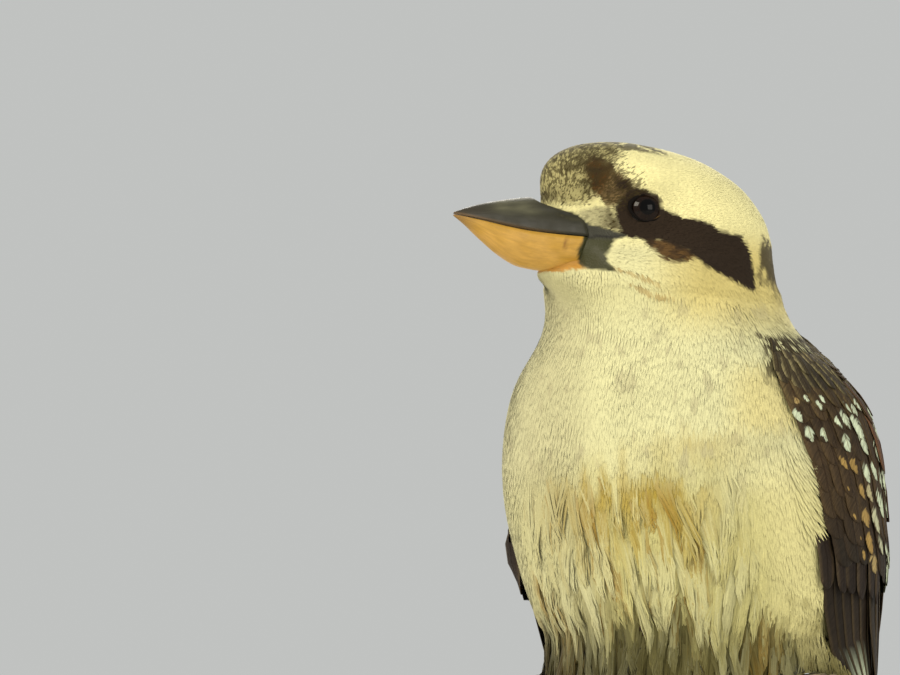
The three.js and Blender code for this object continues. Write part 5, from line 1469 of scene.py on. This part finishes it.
# Lids: a soft ring about the eye's opening, wider than high, its section an oval with fine beads
def makeLids(side, name):
    surface, look, across, upward = eyeFrame(side)
    tint = coloursOf(eyeShape)
    turn, around = np.meshgrid(fullTurn(120), fullTurn(14), indexing="ij")
    thick = eyeShape["lidThick"] * (1 + 0.06 * np.sin(turn * 40) * np.cos(around)) * (1 + 0.2 * np.sin(turn))
    reach = eyeShape["lidRadius"] * (1 + 0.12 * np.abs(np.cos(turn)) ** 6) + thick * np.cos(around)
    # the ring lies on the globe, so its ends sink back with the globe's curve
    back = -0.35 + 0.9 * thick * np.sin(around)
    p = surface + look * back[..., None] + reach[..., None] * onRing(turn, 1.05 * across, 0.9 * upward)
    number = np.arange(turn.size).reshape(turn.shape)
    beside = np.roll(number, -1, axis=1)
    quads = np.stack([number, beside, np.roll(beside, -1, axis=0), np.roll(number, -1, axis=0)], axis=-1)
    points = p.reshape(-1, 3)
    faces = turnedOut(points, [quads.reshape(-1, 4)], surface)
    # a paler inner edge shows at the back of the eye
    backward = -dot(across, headForward) * np.cos(turn)
    edge = ease(0.1, -0.7, np.cos(around)) * ease(0.35, 0.8, backward)
    colour = dyed(tint["lid"], tint["lidEdge"], 0.7 * edge)
    # Bare lid skin: dark and slightly greasy, with beads along its edge
    skin = paintedFinish(f"eyelid skin {name}, soft satin", {"Roughness": 0.8, "Specular IOR Level": 0.1},
                         "TexVoronoi", {"Scale": 1600.0}, bump=(0.4, 0.0003))
    lid = addMesh(f"eyelids_{name}", toPart(points), faces, skin, {"plumage": colour.reshape(-1, 3)})
    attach(lid, "root")


for side, name in ((1, "left"), (-1, "right")):
    makeEye(side, name)
    makeLids(side, name)
print("eyes made")


# Legs
legShape = {
    "x": 21, "y": -4, "ankle": 5.5, "knee": 26, "kneeY": 8, "radius": 3.4,
    "toeBase": 3.7, "toeTip": 2.7, "claw": 1.7, "clear": 21.05,
    "perchY": -6, "perchRadius": 20,
    # across from the leg, from and to in degrees over the branch, and where the claw ends
    "toes": [(-9.5, 4, 62, 84), (0.5, 4, 74, 97), (7.2, 4, 66, 89), (-2.5, -4, -50, -72)],
    "skin": "#7F7D62", "crease": "#4A4836", "claws": "#2B2622",
}


# Tube: rings about a path, each square to it, with both ends closed; swell is a share of the radius
def tubeParts(path, radii, sides, swell=0.0):
    way = unit(np.gradient(path, axis=0))
    u = unit(np.array([1.0, 0, 0]) - way * way[:, :1])
    turn = fullTurn(sides)
    reach = radii[:, None] * (1 + swell)
    ring = path[:, None] + reach[..., None] * onRing(turn, u[:, None], np.cross(way, u)[:, None])
    return closedRings(ring, path[[0, -1]])


# Scuted skin: a tube of raised plates with narrow creases between them
def scutedTube(path, radii, number, sway, narrow, height, dark, mottle=0.0):
    tint = coloursOf(legShape)
    sides = 18
    turn = fullTurn(sides)
    saw = (np.linspace(0, 1, len(path))[:, None] * number + sway * np.cos(turn)) % 1
    crease = ease(narrow, 0.02, saw) + ease(0.9, 1.0, saw)
    points, faces = tubeParts(path, radii, sides, height * (np.sin(np.pi * saw) - crease))
    # painted shade: the creases between the plates are darker
    colour = dyed(tint["skin"], tint["crease"], dark * crease)
    colour = colour * (1 + mottle * noise(points[:-2].reshape(colour.shape), 2.5, 71))[..., None]
    return points, faces, np.vstack([colour.reshape(-1, 3), tint["skin"], tint["skin"]])


def overBranch(x, reach, angle):  # a path round the branch, by its reach and angle in degrees from the top
    turn = np.radians(angle)
    return np.column_stack([
        x, legShape["perchY"] - reach * np.sin(turn), reach * np.cos(turn) - legShape["perchRadius"]])


def joinParts(parts):  # several closed shapes in one mesh
    points, quads, ends, colours, first = [], [], [], [], 0
    for p, faces, colour in parts:
        points.append(p)
        quads.append(faces[0] + first)
        ends.extend(face + first for face in faces[1:])
        colours.append(colour)
        first += len(p)
    return toPart(np.vstack(points)), [np.vstack(quads), np.vstack(ends)], np.vstack(colours)


# Toes wrap the branch as arcs round it, each with a claw that narrows to its point, and the leg rises behind
def makeLeg(side, name):
    shape = legShape
    scaled, horn = [], []
    for spread, start, end, clawEnd in shape["toes"]:
        t = np.linspace(0, 1, 44)
        thick = blend(shape["toeBase"], shape["toeTip"], t)
        radius = thick * (1 + 0.05 * np.sin(t * np.pi * 3) ** 2)  # three pads
        radius = radius * np.where(t > 0.94, np.sqrt(np.maximum(1 - ((t - 0.94) / 0.07) ** 2, 0.05)), 1)
        x = side * (shape["x"] + spread * np.clip(0.15 + 0.85 * t, 0, 1))
        path = overBranch(x, shape["clear"] + thick, blend(start, end, t))
        scaled.append(scutedTube(path, radius, 13, 0.12, 0.16, 0.05, 0.75, 0.1))
        t = np.linspace(-0.12, 1, 24)
        radius = blend(shape["claw"] + 0.4, 0.3, ease(0, 1.15, t))
        reach = shape["clear"] + radius + 1.6 * np.sin(np.pi * np.clip(t, 0, 1))
        path = overBranch(side * (shape["x"] + spread) + 0 * t, reach, blend(end, clawEnd, t))
        points, faces = tubeParts(path, radius, 12)
        shade = blend(0.8, 1.5, noise(points, 1.5, 72) * 0.5 + 0.5)
        horn.append((points, faces, hexColour(shape["claws"]) * shade[:, None]))
    t = np.linspace(0, 1, 40)
    path = np.column_stack([side * shape["x"] + 0 * t, blend(shape["y"], shape["kneeY"], t),
                            blend(shape["ankle"], shape["knee"], t)])
    radii = shape["radius"] * (1 + 0.18 * (2 * t - 1) ** 2)
    scaled.append(scutedTube(path, radii, 8, 0.1, 0.14, 0.04, 0.7))

    # Scaly leg skin: leathery plates, satin with a fine pebble between them
    scutes = paintedFinish(f"leg skin {name}, leathery scutes", {"Roughness": 0.55},
                           "TexVoronoi", {"Scale": 1500.0}, bump=(0.35, 0.0003))
    # Claw keratin: near black, polished by wear, faint lengthwise streaks
    polished = paintedFinish(f"claws {name}, polished keratin", {"Roughness": 0.3},
                             "TexNoise", {"Scale": 900.0}, bump=(0.2, 0.0002))
    for label, parts, finish in (("foot", scaled, scutes), ("claws", horn, polished)):
        points, faces, colours = joinParts(parts)
        piece = addMesh(f"{label}_{name}", points, faces, finish, {"plumage": colours})
        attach(piece, "root")
        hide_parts(f"leg_{name}")


makeLeg(1, "left")
makeLeg(-1, "right")
print("legs made")


# Branch
branchShape = {
    "y": -6, "radius": 20, "length": 138, "bark": 1.1,
    "barkDark": "#3E3628", "barkLight": "#85785C", "lichen": "#A9AE8E", "moss": "#5B6B2A",
    "woodPale": "#C2A577", "woodRing": "#8E6C43",
}


# Branch: a round section carried along X, its radius raised into bark ridges by stretched noise; the sawn
# ends are flat and show growth rings
def makeBranch(shape):
    tint = coloursOf(shape)
    half, radius = shape["length"] / 2, shape["radius"]
    x, turn = np.meshgrid(np.linspace(-half, half, 250), fullTurn(220), indexing="ij")
    around = np.stack([x * 0.28, np.cos(turn) * radius, np.sin(turn) * radius], axis=-1)
    plates = noise(around, 3.4, 81)
    fine = noise(around * [3, 1, 1], 1.3, 82)
    furrow = ease(0.26, 0.0, np.abs(plates + 0.25 * fine))
    wave = 0.6 * (0.6 * np.sin(3 * turn + x / 19) + 0.4 * np.sin(5 * turn - x / 11))
    end = ease(0, 1.2, half - np.abs(x))
    relief = (0.35 * plates + 0.2 * fine - shape["bark"] * furrow) * end
    reach = radius + wave - 0.4 + relief - 0.7 * (1 - end)
    side = np.stack([
        x, shape["y"] + reach * np.cos(turn), reach * np.sin(turn) - radius - branchBow(x)], axis=-1)
    lichen = ease(0.25, 0.6, noise(around, 9, 83) + 0.3 * fine)
    moss = ease(0.05, 0.4, noise(around, 12, 84) + 0.35 * np.sin(turn) - 0.12 + 0.2 * fine)
    colour = dyed(tint["barkLight"], tint["barkDark"], np.clip(0.85 * furrow + 0.25 * ease(0, 1, fine), 0, 1))
    colour = dyed(colour, tint["lichen"], 0.55 * lichen * (1 - furrow))
    colour = dyed(colour, tint["moss"], 0.8 * moss)
    grids, colours = [side], [colour]
    share = np.linspace(1, 0, 26)[1:-1, None]  # from a sawn end's rim to its middle
    for row in (0, -1):
        hub = side[row].mean(axis=0)
        rings = hub + (side[row] - hub) * share[..., None]
        age = share * 20 + 0.5 * noise(rings, 5, 85)
        grain = ease(0.3, 0.8, np.sin(age * 2 * np.pi / 1.7) * 0.5 + 0.5)
        wood = dyed(tint["woodPale"], tint["woodRing"], 0.7 * grain)
        wood = dyed(wood, tint["barkDark"], ease(0.9, 0.97, share))
        if row == 0:
            grids.insert(0, rings[::-1])
            colours.insert(0, wood[::-1])
        else:
            grids.append(rings)
            colours.append(wood)
    points, faces = closedRings(np.concatenate(grids))
    faces = turnedOut(points, faces, np.array([0, shape["y"], -radius]))
    colours = np.vstack([np.concatenate(colours).reshape(-1, 3), tint["woodRing"], tint["woodRing"]])
    # rough dry bark, no gloss; the coarse relief is in the mesh and the grain in the bump
    bark = paintedFinish("bark and sawn wood, dry and rough", {"Roughness": 0.9}, "TexNoise",
                         {"Scale": 1.0, "Detail": 6.0}, (0.7, 1.25), (0.8, 0.0006), stretch=(250, 900, 900))
    branch = addMesh("branch_bark", toPart(points), faces, bark, {"plumage": colours})
    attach(branch, "root")
    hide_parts("perch")


makeBranch(branchShape)
print("branch made")


# Stand
standShape = {
    "length": 210, "width": 190, "corner": 28,
    # the plinth's moulding: how far in, and height
    "moulding": [
        [26, 0], [1.2, 0], [0.3, 0.35], [0, 1.2], [0, 6.2], [0.5, 6.8], [1.6, 7.2], [1.9, 7.9], [1.7, 8.6],
        [1.1, 9.1], [0.9, 9.9], [1.1, 10.9], [1.7, 11.7], [2.7, 12.0], [26, 12.0],
    ],
    "walnut": "#4A2F1E", "walnutDark": "#2A1A11",
    # the rods: height and radius, with a collar over the plinth
    "rod": [
        [5, 3.4], [5.4, 3.9], [12.0, 4.0], [12.02, 7.4], [12.6, 8.0], [16.5, 8.0], [17.2, 7.6], [17.6, 5.6],
        [18.0, 4.0], [60, 4.0], [100, 4.0], [138.6, 4.0], [139.0, 3.6],
    ],
    "rodSpread": 42, "rodY": -8, "steel": "#B9BBBD",
}


# Walnut, planed and oiled, then waxed to a soft shine: long dark grain along X
def walnutMaterial(shape):
    walnut = newMaterial("walnut, oiled and waxed")
    place = addNode(walnut, "TexCoord").outputs["Object"]
    # growth rings 4 to 6 mm apart, drawn out along the board
    stretched = addNode(walnut, "Mapping", {"Vector": place, "Scale": (9, 150, 150)})
    rings = addNode(walnut, "TexNoise", {"Vector": stretched, "Scale": 1.0, "Detail": 5.0, "Distortion": 0.6})
    poreSpace = addNode(walnut, "Mapping", {"Vector": place, "Scale": (120, 1800, 1800)})
    pores = addNode(walnut, "TexNoise", {"Vector": poreSpace, "Scale": 1.0})
    grain = addNode(walnut, "MapRange", {"Value": rings, "From Min": 0.35, "From Max": 0.65})
    dark, light = ((*hexColour(shape[key]), 1) for key in ("walnutDark", "walnut"))
    colour = addNode(walnut, "MixRGB", {"Fac": grain, "Color1": dark, "Color2": light})
    bump = addNode(walnut, "Bump", {"Height": pores, "Strength": 0.2, "Distance": 0.0003})
    addNode(walnut, "Principled BSDF", {
        "Base Color": colour, "Roughness": 0.38, "Coat Weight": 0.25, "Coat Roughness": 0.25, "Normal": bump})
    return walnut


# Stainless steel, ground and brushed along its length: fine streaks along the rod
def steelMaterial(shape):
    steel = newMaterial("stainless steel, brushed lengthwise")
    place = addNode(steel, "TexCoord").outputs["Object"]
    drawn = addNode(steel, "Mapping", {"Vector": place, "Scale": (2600, 2600, 30)})
    brushing = addNode(steel, "TexNoise", {"Vector": drawn, "Scale": 1.0})
    rough = addNode(steel, "MapRange", {
        "Value": brushing, "From Min": 0.3, "From Max": 0.7, "To Min": 0.22, "To Max": 0.42})
    bump = addNode(steel, "Bump", {"Height": brushing, "Strength": 0.15, "Distance": 0.0002})
    addNode(steel, "Principled BSDF", {
        "Base Color": (*hexColour(shape["steel"]), 1), "Metallic": 1.0, "Roughness": rough, "Normal": bump})
    return steel


# Plinth: a small moulded profile carried round a rectangle with rounded corners, and the flat top and
# bottom closed to the middle
def makePlinth(shape):
    moulding = np.array(shape["moulding"])
    hx, hy, corner = shape["length"] / 2, shape["width"] / 2, shape["corner"]
    centres, outs = [], []
    for k, (sx, sy) in enumerate(((1, 1), (-1, 1), (-1, -1), (1, -1))):
        turn = np.linspace(0, np.pi / 2, 15) + k * np.pi / 2
        outs.append(np.column_stack([np.cos(turn), np.sin(turn), 0 * turn]))
        centres.append(np.array([sx * (hx - corner), sy * (hy - corner), 0]) + 0 * outs[-1])
    ring = np.vstack(centres) + np.vstack(outs) * (corner - moulding[:, :1, None])
    points, faces = closedRings(ring + moulding[:, 1, None, None] * np.array([0, 0, 1]))
    base = addMesh("plinth", points * 0.001, faces, walnutMaterial(shape))
    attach(base, "root")
    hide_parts("stand_base")


def makeRods(shape):  # turned rods: the radius at each height, carried round an upright line
    steel = steelMaterial(shape)
    z, radii = np.array(shape["rod"]).T
    for side, name in ((1, "left"), (-1, "right")):
        path = np.column_stack([0 * z + side * shape["rodSpread"], 0 * z + shape["rodY"], z])
        points, faces = tubeParts(path, radii, 40)
        rod = addMesh(f"rod_{name}", points * 0.001, faces, steel)
        bevel = rod.modifiers.new("edge", "BEVEL")
        bevel.width, bevel.segments, bevel.limit_method = 0.0003, 2, "ANGLE"
        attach(rod, "root")
        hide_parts(f"stand_rod_{name}")


makePlinth(standShape)
makeRods(standShape)
print("stand made")
